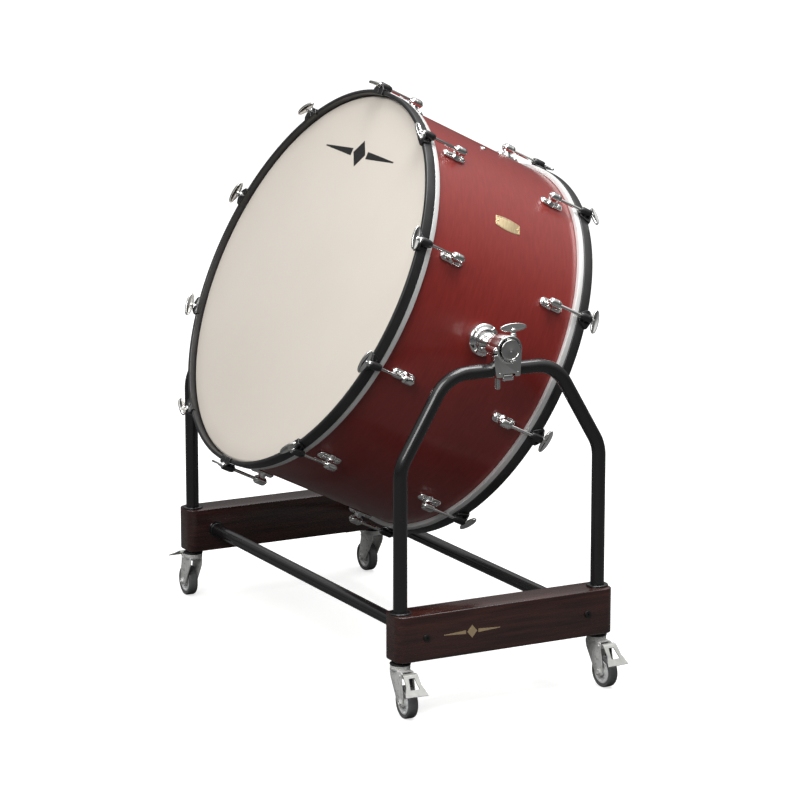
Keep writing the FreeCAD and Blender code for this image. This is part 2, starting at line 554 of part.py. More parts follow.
def brake_pedal(lifted):
    """Sheet-steel pedal: two arms on the rivet, a sloping windowed plate and the brake shoe."""
    arm_out, sheet = CHEEK_IN - GAP, 2.5
    pin = Vector(PEDAL_PIN_X, 0, PEDAL_PIN_Z)
    bridge_low, bridge_high = PEDAL_PIN_Z + 2, PEDAL_PIN_Z + 4.5
    eye = bar(4.6, pin - Y_AXIS * arm_out, pin + Y_AXIS * arm_out)
    between = box(Vector(PEDAL_PIN_X - 8, sheet - arm_out, 85), Vector(43, arm_out - sheet, 120))
    arms = box(Vector(PEDAL_PIN_X, -arm_out, PEDAL_PIN_Z - 4.6), Vector(46, arm_out, bridge_high))
    forked = union(eye, arms).cut(between)
    bridge = box(Vector(43, -18, bridge_low), Vector(54, 18, bridge_high))
    shoe = box(Vector(43, -6, 76.5), Vector(53, 6, bridge_low + EMBED))
    top, low = Vector(52, 0, bridge_high), Vector(88, 0, 61)
    down = low - top
    out = down.cross(Y_AXIS).normalize() * sheet

    def outline(stretch):
        points = []
        for share, half in stretch:
            points.append(top + down * share + Vector(0, half, 0))
        for share, half in reversed(stretch):
            points.append(top + down * share + Vector(0, -half, 0))
        return points

    plate = extruded(outline(((0, 18), (0.5, 19), (0.72, 24), (1, 28.5))), out)
    window = extruded([p - out for p in outline(((0.12, 7), (0.66, 12)))], out * 3)
    hole = bar(2.5 + RUNNING, pin - Y_AXIS * 30, pin + Y_AXIS * 30)
    pedal = union(forked, bridge, shoe, plate.cut(window)).cut(hole)
    if lifted:
        pedal.rotate(pin, Y_AXIS, -PEDAL_LIFT)
    return pedal


def corner_place(side_x, side_y, swivel):
    """The caster frame at one corner, with the wheel trailing outward."""
    outward = 0.0 if side_x > 0 else 180.0
    return Placement(Vector(side_x * FRAME_X, side_y * LEG_Y, 0), Rotation(Z_AXIS, outward + swivel))


os.makedirs("parts", exist_ok=True)

# ---- drum nodes ----
save("shell", placed(shell(), DRUM_PLACE))
save("reinforcing_rings", *[placed(s, DRUM_PLACE) for s in both_ends(reinforcing_ring())])
save("flesh_hoops", *[placed(s, DRUM_PLACE) for s in both_ends(flesh_hoop())])
for name, solid in zip(("front", "rear"), both_ends(head())):
    save(f"head_{name}", placed(solid, DRUM_PLACE))
for name, solid in zip(("front", "rear"), both_ends(counterhoop())):
    save(f"counterhoop_{name}", placed(solid, DRUM_PLACE))
TENSION = [DRUM_PLACE.multiply(place) for place in rod_places()]
save("claws", *[placed(claw(), place) for place in TENSION])
save("lugs", *[placed(lug(), place) for place in TENSION])
save("lug_screws", *[placed(lug_screw(z), place) for place in TENSION for z in screw_heights()])
ROD = tension_rod()
for i, place in enumerate(TENSION):
    end = "front" if i < RODS_PER_HEAD else "rear"
    save(f"tension_rod_{end}_{i % RODS_PER_HEAD + 1}", placed(ROD, place))
save("vent_grommet", placed(vent_grommet(), DRUM_PLACE))
save("maker_plate", placed(maker_plate(), DRUM_PLACE))
save("pivot_bosses", pivot_boss(), mirrored_x(pivot_boss()))
save("pivot_shafts", pivot_shaft(), mirrored_x(pivot_shaft()))

# ---- stand nodes ----
HANDS = (("right", Part.Shape.copy), ("left", mirrored_x))
for name, hand in HANDS:
    save(f"base_beam_{name}", hand(base_beam()))
    save(f"side_frame_{name}", hand(side_frame()))
    save(f"tilt_wing_{name}", hand(wing_screw()))
for name, make in (("clamp_bodies", clamp_body), ("shaft_straps", shaft_strap), ("clamp_jaws", clamp_jaw),
                   ("clamp_bolts", clamp_bolt)):
    save(name, make(), mirrored_x(make()))
save("leg_collars", *[hand(leg_collar(s * LEG_Y)) for s in (-1, 1) for _, hand in HANDS])
save("crossbars", *[crossbar(s * CROSSBAR_Y) for s in (-1, 1)])
save("crossbar_bolts", *[hand(crossbar_bolt(s * CROSSBAR_Y)) for s in (-1, 1) for _, hand in HANDS])

# ---- caster nodes ----
save("caster_stems", *[placed(caster_stem(), corner_place(x, y, swivel)) for _, x, y, swivel, _ in CORNERS])
for name, side_x, side_y, swivel, lifted in CORNERS:
    place = corner_place(side_x, side_y, swivel)
    save(f"caster_fork_{name}", *[placed(s, place) for s in (caster_fork(), caster_axle(), pedal_rivet())])
    save(f"caster_wheel_{name}", *[placed(s, place) for s in wheel()])
    save(f"brake_pedal_{name}", placed(brake_pedal(lifted), place))
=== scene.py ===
import math

import bmesh
import bpy
from mathutils import Matrix, Vector


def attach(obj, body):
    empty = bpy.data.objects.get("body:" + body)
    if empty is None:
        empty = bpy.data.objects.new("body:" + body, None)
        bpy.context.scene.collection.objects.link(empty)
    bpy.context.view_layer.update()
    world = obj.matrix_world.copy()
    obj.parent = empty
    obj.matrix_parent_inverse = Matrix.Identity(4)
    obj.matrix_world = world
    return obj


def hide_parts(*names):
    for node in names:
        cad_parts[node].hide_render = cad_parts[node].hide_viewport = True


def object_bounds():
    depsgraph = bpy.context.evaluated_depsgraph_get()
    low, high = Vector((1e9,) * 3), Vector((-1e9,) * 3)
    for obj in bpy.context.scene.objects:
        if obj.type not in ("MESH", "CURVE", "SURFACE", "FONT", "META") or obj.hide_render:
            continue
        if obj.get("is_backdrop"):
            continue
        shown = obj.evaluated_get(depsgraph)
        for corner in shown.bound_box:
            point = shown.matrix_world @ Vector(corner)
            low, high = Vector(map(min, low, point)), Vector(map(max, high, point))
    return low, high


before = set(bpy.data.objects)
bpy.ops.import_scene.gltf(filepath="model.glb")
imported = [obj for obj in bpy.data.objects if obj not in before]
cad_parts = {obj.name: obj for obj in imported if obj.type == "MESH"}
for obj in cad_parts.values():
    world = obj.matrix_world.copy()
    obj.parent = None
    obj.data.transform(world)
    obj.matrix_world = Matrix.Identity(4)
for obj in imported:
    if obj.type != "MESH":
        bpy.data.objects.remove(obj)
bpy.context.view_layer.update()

# --------------------------------------------------------------------
# Shell. A plywood cylinder bent round a mould and scarf-jointed, its outside veneered, stained
# burgundy and sprayed with clear gloss. Both ends are bevelled to a narrow bearing edge.

SHELL_R = 0.457
SHELL_HALF = 0.2286
SHELL_WALL = 0.01
REST_TILT = math.radians(26.4)
DRUM_CENTRE = Vector((0, 0, 0.8))
# the drum's own frame: Z along its axis towards the front head, X along the tilt axis
DRUM = Matrix.Translation(DRUM_CENTRE) @ Matrix.Rotation(math.pi / 2 - REST_TILT, 4, "X")


def lathe(profile, steps=48):
    """A closed solid of revolution about Z from (radius, height) points."""
    bm = bmesh.new()
    verts = [bm.verts.new((r, 0, h)) for r, h in profile]
    edges = [bm.edges.new(pair) for pair in zip(verts, verts[1:])]
    if profile[0][0] > 0 and profile[-1][0] > 0:
        edges.append(bm.edges.new((verts[-1], verts[0])))
    bmesh.ops.spin(bm, geom=verts + edges, cent=(0, 0, 0), axis=(0, 0, 1), angle=2 * math.pi,
                   steps=steps, use_merge=True)
    bmesh.ops.remove_doubles(bm, verts=bm.verts, dist=1e-6)
    bmesh.ops.recalc_face_normals(bm, faces=bm.faces)
    return bm


def at(x, y, z):
    """A move along the three axes."""
    return Matrix.Translation((x, y, z))


def placed(bm, place):
    """The same mesh after a move and turn."""
    bmesh.ops.transform(bm, matrix=place, verts=bm.verts)
    return bm


def add(bm, part, place=Matrix()):
    """Moves a finished part into place and joins it to the piece being made."""
    mesh = bpy.data.meshes.new("part")
    placed(part, place).to_mesh(mesh)
    part.free()
    bm.from_mesh(mesh)
    bpy.data.meshes.remove(mesh)


def make_piece(name, bm, finishes, body, nodes=(), crease=40):
    """Turns a bmesh into a smooth piece that rides on its body and stands for its CAD nodes."""
    bmesh.ops.recalc_face_normals(bm, faces=bm.faces)
    mesh = bpy.data.meshes.new(name)
    bm.to_mesh(mesh)
    bm.free()
    for finish in finishes:
        mesh.materials.append(finish)
    mesh.shade_smooth()
    mesh.set_sharp_from_angle(angle=math.radians(crease))
    piece = bpy.data.objects.new(name, mesh)
    bpy.context.collection.objects.link(piece)
    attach(piece, body)
    if nodes:
        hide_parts(*nodes)


MIDDLE = (0.3, 0.7)  # the range that a noise covers almost everywhere


def noise(nodes, links, scale, detail, stretch=(1, 1, 1), turn=(0, 0, 0)):
    """Noise on object coordinates, stretched along the axes after an optional turn."""
    last = nodes.new("ShaderNodeTexCoord").outputs["Object"]
    for socket, value in (("Rotation", turn), ("Scale", stretch)):
        mapping = nodes.new("ShaderNodeMapping")
        mapping.inputs[socket].default_value = value
        links.new(last, mapping.inputs["Vector"])
        last = mapping.outputs["Vector"]
    cloud = nodes.new("ShaderNodeTexNoise")
    cloud.inputs["Scale"].default_value = scale
    cloud.inputs["Detail"].default_value = detail
    links.new(last, cloud.inputs["Vector"])
    return cloud.outputs["Fac"]


def new_finish(name, colour, metallic, roughness, tint=None, gloss=None, relief=None, **sockets):
    """A material on one Principled shader, its other sockets by name with _ for spaces.

    Tint is a noise and two colours, gloss a noise and two roughnesses, relief a noise, a strength
    and a height in metres; each noise is given as the last arguments of noise().
    """
    finish = bpy.data.materials.new(name)
    finish.use_nodes = True
    nodes, links = finish.node_tree.nodes, finish.node_tree.links
    shader = nodes["Principled BSDF"]
    shader.inputs["Base Color"].default_value = (*colour, 1)
    shader.inputs["Metallic"].default_value = metallic
    shader.inputs["Roughness"].default_value = roughness
    for socket, value in sockets.items():
        shader.inputs[socket.replace("_", " ")].default_value = value
    if tint:
        pattern, *colours = tint
        ramp = nodes.new("ShaderNodeValToRGB")
        for stop, position, stop_colour in zip(ramp.color_ramp.elements, MIDDLE, colours):
            stop.position, stop.color = position, (*stop_colour, 1)
        links.new(noise(nodes, links, *pattern), ramp.inputs["Fac"])
        links.new(ramp.outputs["Color"], shader.inputs["Base Color"])
    if gloss:
        pattern, *ends = gloss
        mapped = nodes.new("ShaderNodeMapRange")
        for socket, value in zip(("From Min", "From Max", "To Min", "To Max"), (*MIDDLE, *ends)):
            mapped.inputs[socket].default_value = value
        links.new(noise(nodes, links, *pattern), mapped.inputs["Value"])
        links.new(mapped.outputs["Result"], shader.inputs["Roughness"])
    if relief:
        pattern, strength, height = relief
        raised = nodes.new("ShaderNodeBump")
        raised.inputs["Strength"].default_value = strength
        raised.inputs["Distance"].default_value = height
        links.new(noise(nodes, links, *pattern), raised.inputs["Height"])
        links.new(raised.outputs["Normal"], shader.inputs["Normal"])
    return finish


# Veneer grain runs round the shell; the stain is a little darker where the grain is open.
ALONG_DRUM = (-(math.pi / 2 - REST_TILT), 0, 0)
lacquer = new_finish("burgundy_lacquer", (0.17, 0.016, 0.014), 0.0, 0.36,
                     ((26.0, 4.0, (1, 1, 9), ALONG_DRUM), (0.175, 0.015, 0.012), (0.215, 0.02, 0.0155)),
                     ((5.0, 3.0), 0.3, 0.38), ((160.0, 2.0), 0.05, 0.0002),
                     Coat_Weight=0.6, Coat_Roughness=0.22, Specular_IOR_Level=0.4)

bevel = 0.002
bore = SHELL_R - SHELL_WALL
shell = lathe([(bore, -SHELL_HALF), (SHELL_R - bevel, -SHELL_HALF), (SHELL_R, bevel - SHELL_HALF),
               (SHELL_R, SHELL_HALF - bevel), (SHELL_R - bevel, SHELL_HALF), (bore, SHELL_HALF)], 288)
make_piece("drum_shell", placed(shell, DRUM), [lacquer], "drum", ["shell"])

# --------------------------------------------------------------------
# Reinforcing rings. Two bands of bare maple glued inside the shell behind the bearing edges.

maple = new_finish("bare_maple", (0.55, 0.38, 0.22), 0.0, 0.6,
                   ((14.0, 6.0, (1, 1, 20), ALONG_DRUM), (0.5, 0.33, 0.18), (0.64, 0.46, 0.28)),
                   relief=((60.0, 4.0, (1, 1, 14), ALONG_DRUM), 0.2, 0.0003))
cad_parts["reinforcing_rings"].data.materials.clear()
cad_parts["reinforcing_rings"].data.materials.append(maple)

# --------------------------------------------------------------------
# Heads. Cream film with a sprayed matt coat, drawn over the bearing edge by its collar, which runs
# down outside the shell into the flesh hoop.

FILM, FILM_EDGE, CROWN = 0.0008, 0.207, 0.004
skirt_in = SHELL_R + 0.0003
# each end's own frame, its Z towards that head
ENDS = [(name, DRUM @ Matrix.Rotation(flip, 4, "X")) for name, flip in (("front", 0), ("rear", math.pi))]
film = new_finish("coated_film", (0.66, 0.6, 0.52), 0.0, 0.5,
                  ((2.2, 5.0), (0.66, 0.605, 0.535), (0.71, 0.655, 0.585)),
                  ((7.0, 3.0), 0.42, 0.56), ((900.0, 2.0), 0.12, 0.0001), Specular_IOR_Level=0.35)
for name, end in ENDS:
    outside = [(SHELL_R - CROWN, SHELL_HALF + FILM), (SHELL_R - CROWN / 3, SHELL_HALF + FILM - 0.0005),
               (skirt_in + FILM, SHELL_HALF - 0.0025), (skirt_in + FILM, FILM_EDGE)]
    inside = [(skirt_in, FILM_EDGE), (skirt_in, SHELL_HALF - 0.003), (SHELL_R - CROWN, SHELL_HALF)]
    rings = [(r, SHELL_HALF + FILM) for r in (0, 0.15, 0.3, 0.42)]
    under = [(r, SHELL_HALF) for r in (0.42, 0.3, 0.15, 0)]
    head = placed(lathe(rings + outside + inside + under, 192), end)
    make_piece(f"drumhead_{name}", head, [film], "drum", [f"head_{name}"])

# --------------------------------------------------------------------
# Head ornament. A plain lozenge between two tapered bars, printed in black ink on the front head.


def only(kind, geom):
    """The vertices or edges among the mixed geometry that an operator returns."""
    return [g for g in geom if isinstance(g, kind)]


def thicken(bm, faces, thick):
    """Raises flat faces by their thickness along Z and closes the sides."""
    top = bmesh.ops.extrude_face_region(bm, geom=faces)["geom"]
    bmesh.ops.translate(bm, vec=(0, 0, thick), verts=only(bmesh.types.BMVert, top))


def ornament(half, tall, thick):
    """Lozenge and two tapered bars across X, from z 0 to thick."""
    gap, root, tip, bm = half * 0.22, tall * 0.28, tall * 0.05, bmesh.new()
    for outline in (((-gap * 0.8, 0), (0, -tall), (gap * 0.8, 0), (0, tall)),
                    ((gap, -root), (half, -tip), (half, tip), (gap, root)),
                    ((-gap, root), (-half, tip), (-half, -tip), (-gap, -root))):
        thicken(bm, [bm.faces.new([bm.verts.new((x, y, 0)) for x, y in outline])], thick)
    bmesh.ops.recalc_face_normals(bm, faces=bm.faces)
    return bm


ink = new_finish("black_ink", (0.012, 0.012, 0.013), 0.0, 0.5, gloss=((60.0, 3.0), 0.42, 0.6))
print_mark = placed(ornament(0.17, 0.033, 0.0004), DRUM @ at(-0.0065, 0.314, SHELL_HALF + FILM - 0.0002))
make_piece("head_ornament", print_mark, [ink], "drum", ())

# --------------------------------------------------------------------
# Flesh hoops. Rolled aluminium channels that carry the film's edge; only a satin band shows under
# each counterhoop.

FLESH_LOW, FLESH_HIGH, FLESH_R = 0.205, 0.2184, 0.4685
satin = new_finish("satin_aluminium", (0.8, 0.8, 0.79), 0.55, 0.42,
                   gloss=((30.0, 4.0, (1, 1, 30), ALONG_DRUM), 0.38, 0.5),
                   relief=((80.0, 3.0, (1, 1, 30), ALONG_DRUM), 0.08, 0.0002))
bands = bmesh.new()
inner, soft = skirt_in + FILM, 0.0022
for name, end in ENDS:
    band = lathe([(inner, FLESH_LOW), (FLESH_R - soft, FLESH_LOW), (FLESH_R - soft / 4, FLESH_LOW + soft / 3),
                  (FLESH_R, FLESH_LOW + soft), (FLESH_R, FLESH_HIGH - 0.001), (FLESH_R - 0.001, FLESH_HIGH),
                  (inner, FLESH_HIGH)], 288)
    add(bands, band, end)
make_piece("flesh_bands", bands, [satin], "drum", ["flesh_hoops"])

# --------------------------------------------------------------------
# Counterhoops. Laminated maple hoops, square in section with eased edges, sprayed satin black.

HOOP_LOW, HOOP_HIGH, HOOP_IN, HOOP_OUT = 0.2185, 0.2435, 0.461, 0.47
hoop_black = new_finish("satin_black_lacquer", (0.012, 0.012, 0.012), 0.0, 0.36,
                        ((18.0, 5.0), (0.01, 0.01, 0.011), (0.022, 0.021, 0.021)),
                        ((26.0, 4.0), 0.3, 0.44), ((260.0, 3.0), 0.06, 0.0002),
                        Coat_Weight=0.25, Coat_Roughness=0.3)
soft = 0.0018
section = []
for r, h, start in ((HOOP_IN + soft, HOOP_HIGH - soft, 90), (HOOP_IN + soft, HOOP_LOW + soft, 180),
                    (HOOP_OUT - soft, HOOP_LOW + soft, 270), (HOOP_OUT - soft, HOOP_HIGH - soft, 0)):
    for step in range(4):
        angle = math.radians(start + 30 * step)
        section.append((r + soft * math.cos(angle), h + soft * math.sin(angle)))
for name, end in ENDS:
    hoop = placed(lathe(section, 288), end)
    make_piece(f"rim_hoop_{name}", hoop, [hoop_black], "drum", [f"counterhoop_{name}"])

# --------------------------------------------------------------------
# Claws. Black-painted castings: a wide saddle hooks over the counterhoop, an apron lies against its
# outside, and both narrow to the barrel that the tension rod passes through.

ROD_LINE, RODS, FIRST_ROD = 0.48, 10, 19.4
CLAW_HALF, NOSE_HALF, PLATE, CLAW_SEAT = 0.022, 0.0105, 0.0038, 0.2437


def tension_places():
    """The ten places of each head: origin on the rod's line, X outward, Z towards the head."""
    for flip in (0, math.pi):
        for i in range(RODS):
            around = Matrix.Rotation(math.radians(FIRST_ROD + 360 // RODS * i), 4, "Z")
            yield DRUM @ around @ at(ROD_LINE, 0, 0) @ Matrix.Rotation(flip, 4, "X")


def ease(bm, geom, size, segments, affect="EDGES"):
    """Rounds the given edges or corners."""
    bmesh.ops.bevel(bm, geom=geom, offset=size, segments=segments, affect=affect, profile=0.5,
                    material=-1, clamp_overlap=True)


def block(low, high, edge):
    """A box between two corners with eased edges."""
    bm = bmesh.new()
    bmesh.ops.create_cube(bm, size=1)
    low, high = Vector(low), Vector(high)
    bmesh.ops.scale(bm, vec=high - low, verts=bm.verts)
    bmesh.ops.translate(bm, vec=(low + high) / 2, verts=bm.verts)
    ease(bm, bm.edges[:], edge, 3)
    return bm


# lays the Z axis of a turned part along X
ALONG_X = Matrix.Rotation(math.pi / 2, 4, "Y")
# stands a flat outline drawn in (Y, Z) upright, its thickness along X
UPRIGHT = Matrix(((0, 0, 1, 0), (1, 0, 0, 0), (0, 1, 0, 0), (0, 0, 0, 1)))


def slab(outline, thick, corner, edge):
    """A flat plate from z 0 to thick whose outline's corners and edges are eased."""
    bm = bmesh.new()
    face = bm.faces.new([bm.verts.new((x, y, 0)) for x, y in outline])
    if corner:
        ease(bm, face.verts[:], corner, 6, "VERTICES")
    thicken(bm, bm.faces[:], thick)
    rims = [e for e in bm.edges if abs(e.verts[0].co.z - e.verts[1].co.z) < thick / 2]
    ease(bm, rims, edge, 3)
    bmesh.ops.recalc_face_normals(bm, faces=bm.faces)
    return bm


claw_black = new_finish("claw_paint", (0.01, 0.01, 0.01), 0.0, 0.3, None, ((120.0, 3.0), 0.26, 0.42),
                        ((700.0, 2.0), 0.1, 0.0001), Coat_Weight=0.4, Coat_Roughness=0.2)
claws = bmesh.new()
reach, outer = HOOP_IN - ROD_LINE, HOOP_OUT - ROD_LINE
for place in tension_places():
    saddle = slab([(reach - 0.0028, -CLAW_HALF), (-0.0078, -CLAW_HALF), (0.003, -NOSE_HALF),
                   (0.003, NOSE_HALF), (-0.0078, CLAW_HALF), (reach - 0.0028, CLAW_HALF)],
                  PLATE, 0.0025, 0.0012)
    add(claws, saddle, place @ at(0, 0, CLAW_SEAT))
    apron = slab([(-CLAW_HALF, 0.2385), (-NOSE_HALF, 0.2212), (NOSE_HALF, 0.2212), (CLAW_HALF, 0.2385),
                  (CLAW_HALF, 0.2465), (-CLAW_HALF, 0.2465)], PLATE, 0.0025, 0.0012)
    add(claws, apron, place @ at(outer + 0.0002, 0, 0) @ UPRIGHT)
    # the hook inside the hoop, the rib on top and the root of the barrel
    for x_in, x_out, half, low, high, edge in ((reach - 0.0028, reach - 0.0004, 0.0205, 0.238, 0.247, 0.0008),
                                               (reach - 0.001, -0.0086, 0.004, 0.2465, 0.2488, 0.0011),
                                               (outer + 0.0004, 0.0, 0.007, 0.2215, 0.2474, 0.002)):
        add(claws, block((x_in, -half, low), (x_out, half, high), edge), place)
    for side in (-1, 1):
        web = slab([(0, 0), (0.011, 0), (0, 0.015)], 0.003, 0.001, 0.0008)
        add(claws, web, place @ at(outer + 0.003, 0, 0.231) @ Matrix.Scale(side, 4, (0, 1, 0)))
    barrel = [(0.0047, 0.2165), (0.007, 0.2165), (0.0078, 0.2175), (0.0092, 0.223), (0.0096, 0.225),
              (0.0096, 0.245), (0.009, 0.2467), (0.0078, 0.2475), (0.0047, 0.2475)]
    add(claws, lathe(barrel, 32), place)
make_piece("claw_hooks", claws, [claw_black], "drum", ["claws"])

# --------------------------------------------------------------------
# Lugs. Chrome-plated castings screwed to the shell from inside: a long round-ended foot with a boss
# over each screw, a waisted post and a ball-ended barrel with the nut that the rod screws into.

LUG_AT, LUG_FOOT_AT = 0.141, 0.1445

chrome = new_finish("polished_chrome", (0.83, 0.83, 0.82), 1.0, 0.07, None, ((90.0, 4.0), 0.045, 0.12),
                    ((220.0, 2.0), 0.03, 0.0002))
lugs = bmesh.new()
# stands a part made on Z = 0 against the shell, its length along the drum
ON_SHELL = at(SHELL_R - ROD_LINE - 0.0005, 0, LUG_FOOT_AT) @ ALONG_X @ Matrix.Rotation(math.pi / 2, 4, "Z")
for rod_line in tension_places():
    place = rod_line @ ON_SHELL
    half, wide = 0.0315, 0.0115
    foot = slab([(-wide, -half), (wide, -half), (wide, half), (-wide, half)], 0.0063, 0.0108, 0.0026)
    add(lugs, foot, place)
    add(lugs, block((-0.0035, -0.024, 0.005), (0.0035, 0.02, 0.0092), 0.0016), place)
    post = lathe([(0, 0.003), (0.0132, 0.003), (0.0118, 0.0068), (0.0092, 0.0105), (0.0082, 0.014),
                  (0.009, 0.02), (0, 0.02)], 36)
    add(lugs, post, place @ at(0, LUG_AT - LUG_FOOT_AT, 0))
    for end in (-1, 1):
        dome = lathe([(0, 0.0084), (0.0022, 0.0084), (0.0026, 0.0098), (0.0052, 0.0094), (0.0078, 0.0072),
                      (0.0086, 0.0048), (0, 0.0048)], 28)
        add(lugs, dome, place @ at(0, end * 0.0215, 0))
    b = 0.015
    barrel = [(0.0042, -b), (0.0066, -b), (0.0088, -b + 0.0018), (0.0101, -b + 0.0045), (0.0105, -b + 0.008),
              (0.0105, 0.003), (0.0095, 0.0036), (0.0095, 0.0048), (0.0105, 0.0054), (0.0105, b - 0.007),
              (0.0101, b - 0.0045), (0.0088, b - 0.0018), (0.0066, b), (0.0042, b)]
    add(lugs, lathe(barrel, 36), rod_line @ at(0, 0, LUG_AT))
make_piece("lug_castings", lugs, [chrome], "drum", ["lugs"])

# --------------------------------------------------------------------
# Lug screws. Zinc-plated pan-head screws, driven outward through the shell into the lugs' feet.

zinc = new_finish("bright_zinc", (0.8, 0.8, 0.78), 0.25, 0.34,
                  ((70.0, 5.0), (0.66, 0.66, 0.64), (0.84, 0.84, 0.82)),
                  ((110.0, 4.0), 0.22, 0.42), ((500.0, 3.0), 0.08, 0.0001))
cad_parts["lug_screws"].data.materials.clear()
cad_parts["lug_screws"].data.materials.append(zinc)

# --------------------------------------------------------------------
# Tension rods. Chromed steel rods with a seat washer and an upright oval T-handle, turned by hand to
# tune the head.

CLAW_TOP, HANDLE_AT = 0.2475, 0.26


def oval_plate(length, width, thick):
    """An oval plate standing in the YZ plane, with eased rims and shallow sunk faces."""
    turns = [2 * math.pi * i / 56 for i in range(56)]
    bm = slab([(length / 2 * math.cos(a), width / 2 * math.sin(a)) for a in turns], thick, 0.0, 0.0013)
    for inset, depth in ((0.0012, 0), (0.0008, -0.0005)):
        broad = [f for f in bm.faces if len(f.verts) == len(turns)]
        bmesh.ops.inset_individual(bm, faces=broad, thickness=inset, depth=depth)
    return placed(bm, UPRIGHT @ at(0, 0, -thick / 2))


names = [f"tension_rod_{end}_{i + 1}" for end in ("front", "rear") for i in range(RODS)]
for name, place in zip(names, tension_places()):
    rod = lathe([(0, 0.123), (0.0034, 0.123), (0.004, 0.1238), (0.004, CLAW_TOP + 0.0003),
                 (0.0072, CLAW_TOP + 0.0003), (0.0075, CLAW_TOP + 0.0009), (0.0072, CLAW_TOP + 0.0018),
                 (0.0058, CLAW_TOP + 0.0022), (0.0046, CLAW_TOP + 0.0034), (0.005, HANDLE_AT - 0.007),
                 (0.0052, HANDLE_AT - 0.0045), (0.0034, HANDLE_AT - 0.001), (0, HANDLE_AT)], 24)
    add(rod, oval_plate(0.058, 0.019, 0.005), at(0, 0, HANDLE_AT))
    piece_name = name.replace("tension_", "t_")
    make_piece(piece_name, placed(rod, place), [chrome], name, [name])

# --------------------------------------------------------------------
# Maker's plate. A thin pale brass plate with bowed long sides and a raised border, pinned to the
# shell at both ends. It is left blank.

PLATE_HALF, PLATE_WIDE, PLATE_ANGLE = 0.035, 0.017, math.radians(38)
pale_brass = new_finish("pale_brass", (0.72, 0.55, 0.3), 0.75, 0.38,
                        ((60.0, 4.0, (1, 1, 8), ALONG_DRUM), (0.62, 0.47, 0.26), (0.8, 0.66, 0.42)),
                        relief=((200.0, 3.0, (1, 1, 10), ALONG_DRUM), 0.1, 0.0002))


def bowed_outline(half, wide, share=0.72, steps=8):
    """Long sides bowed outward between two straight ends, as (across, along) points."""
    points = []
    for side in (1, -1):
        for i in range(steps + 1):
            t = side * (2 * i / steps - 1)
            points.append((side * wide * (share + (1 - share) * (1 - t * t)), t * half))
    return points


plate = slab(bowed_outline(PLATE_HALF, PLATE_WIDE), 0.0009, 0.0, 0.0003)
border = bmesh.new()
outer, inner = (bowed_outline(PLATE_HALF - margin, PLATE_WIDE - margin) for margin in (0.0016, 0.003))
loops = []
for outline, height in ((outer, 0.0007), (outer, 0.0013), (inner, 0.0013), (inner, 0.0007)):
    ring_verts = [border.verts.new((x, y, height)) for x, y in outline]
    loops.append([border.edges.new(pair) for pair in zip(ring_verts, ring_verts[1:] + ring_verts[:1])])
for one, two in zip(loops, loops[1:] + loops[:1]):
    bmesh.ops.bridge_loops(border, edges=one + two)
add(plate, border)
for end in (-1, 1):
    pin = lathe([(0, 0.0026), (0.0011, 0.0024), (0.0018, 0.0017), (0.0019, 0.0005), (0, 0.0005)], 20)
    add(plate, pin, at(0, end * 0.0295, 0))
bmesh.ops.subdivide_edges(plate, edges=[e for e in plate.edges if e.calc_length() > 0.012], cuts=4,
                          use_grid_fill=True)
for v in plate.verts:
    across, along, height = v.co
    angle = PLATE_ANGLE + across / SHELL_R
    v.co = Vector(((SHELL_R + height) * math.cos(angle), (SHELL_R + height) * math.sin(angle), along))
make_piece("blank_plate", placed(plate, DRUM), [pale_brass], "drum", ["maker_plate"])

# --------------------------------------------------------------------
# Vent grommet. A spun chrome eyelet clinched into the air hole at the top of the shell.

VENT_ANGLE, VENT_AT = math.radians(74), 0.005
vent_place = DRUM @ Matrix.Rotation(VENT_ANGLE, 4, "Z") @ at(SHELL_R, 0, VENT_AT) @ ALONG_X
eyelet = lathe([(0.0045, -0.0115), (0.006, -0.0115), (0.006, 0.0002), (0.008, 0.0002), (0.0078, 0.0012),
                (0.0068, 0.002), (0.0056, 0.002), (0.0047, 0.0012)], 40)
make_piece("air_eyelet", placed(eyelet, vent_place), [chrome], "drum", ["vent_grommet"])

# --------------------------------------------------------------------
# Pivot bosses and shafts. Each boss is a chromed casting bolted to the shell through a domed
# flange; its sleeve holds the shaft on which the drum tilts, closed outside by a round cap.

PIVOT = Vector((0, 0.004, 0.813))
SIDES = (("right", 1), ("left", -1))


def on_side(sign):
    """Frame on the tilt axis: Z outward to that side from the middle of the drum."""
    return at(0, PIVOT.y, PIVOT.z) @ Matrix.Rotation(sign * math.pi / 2, 4, "Y")


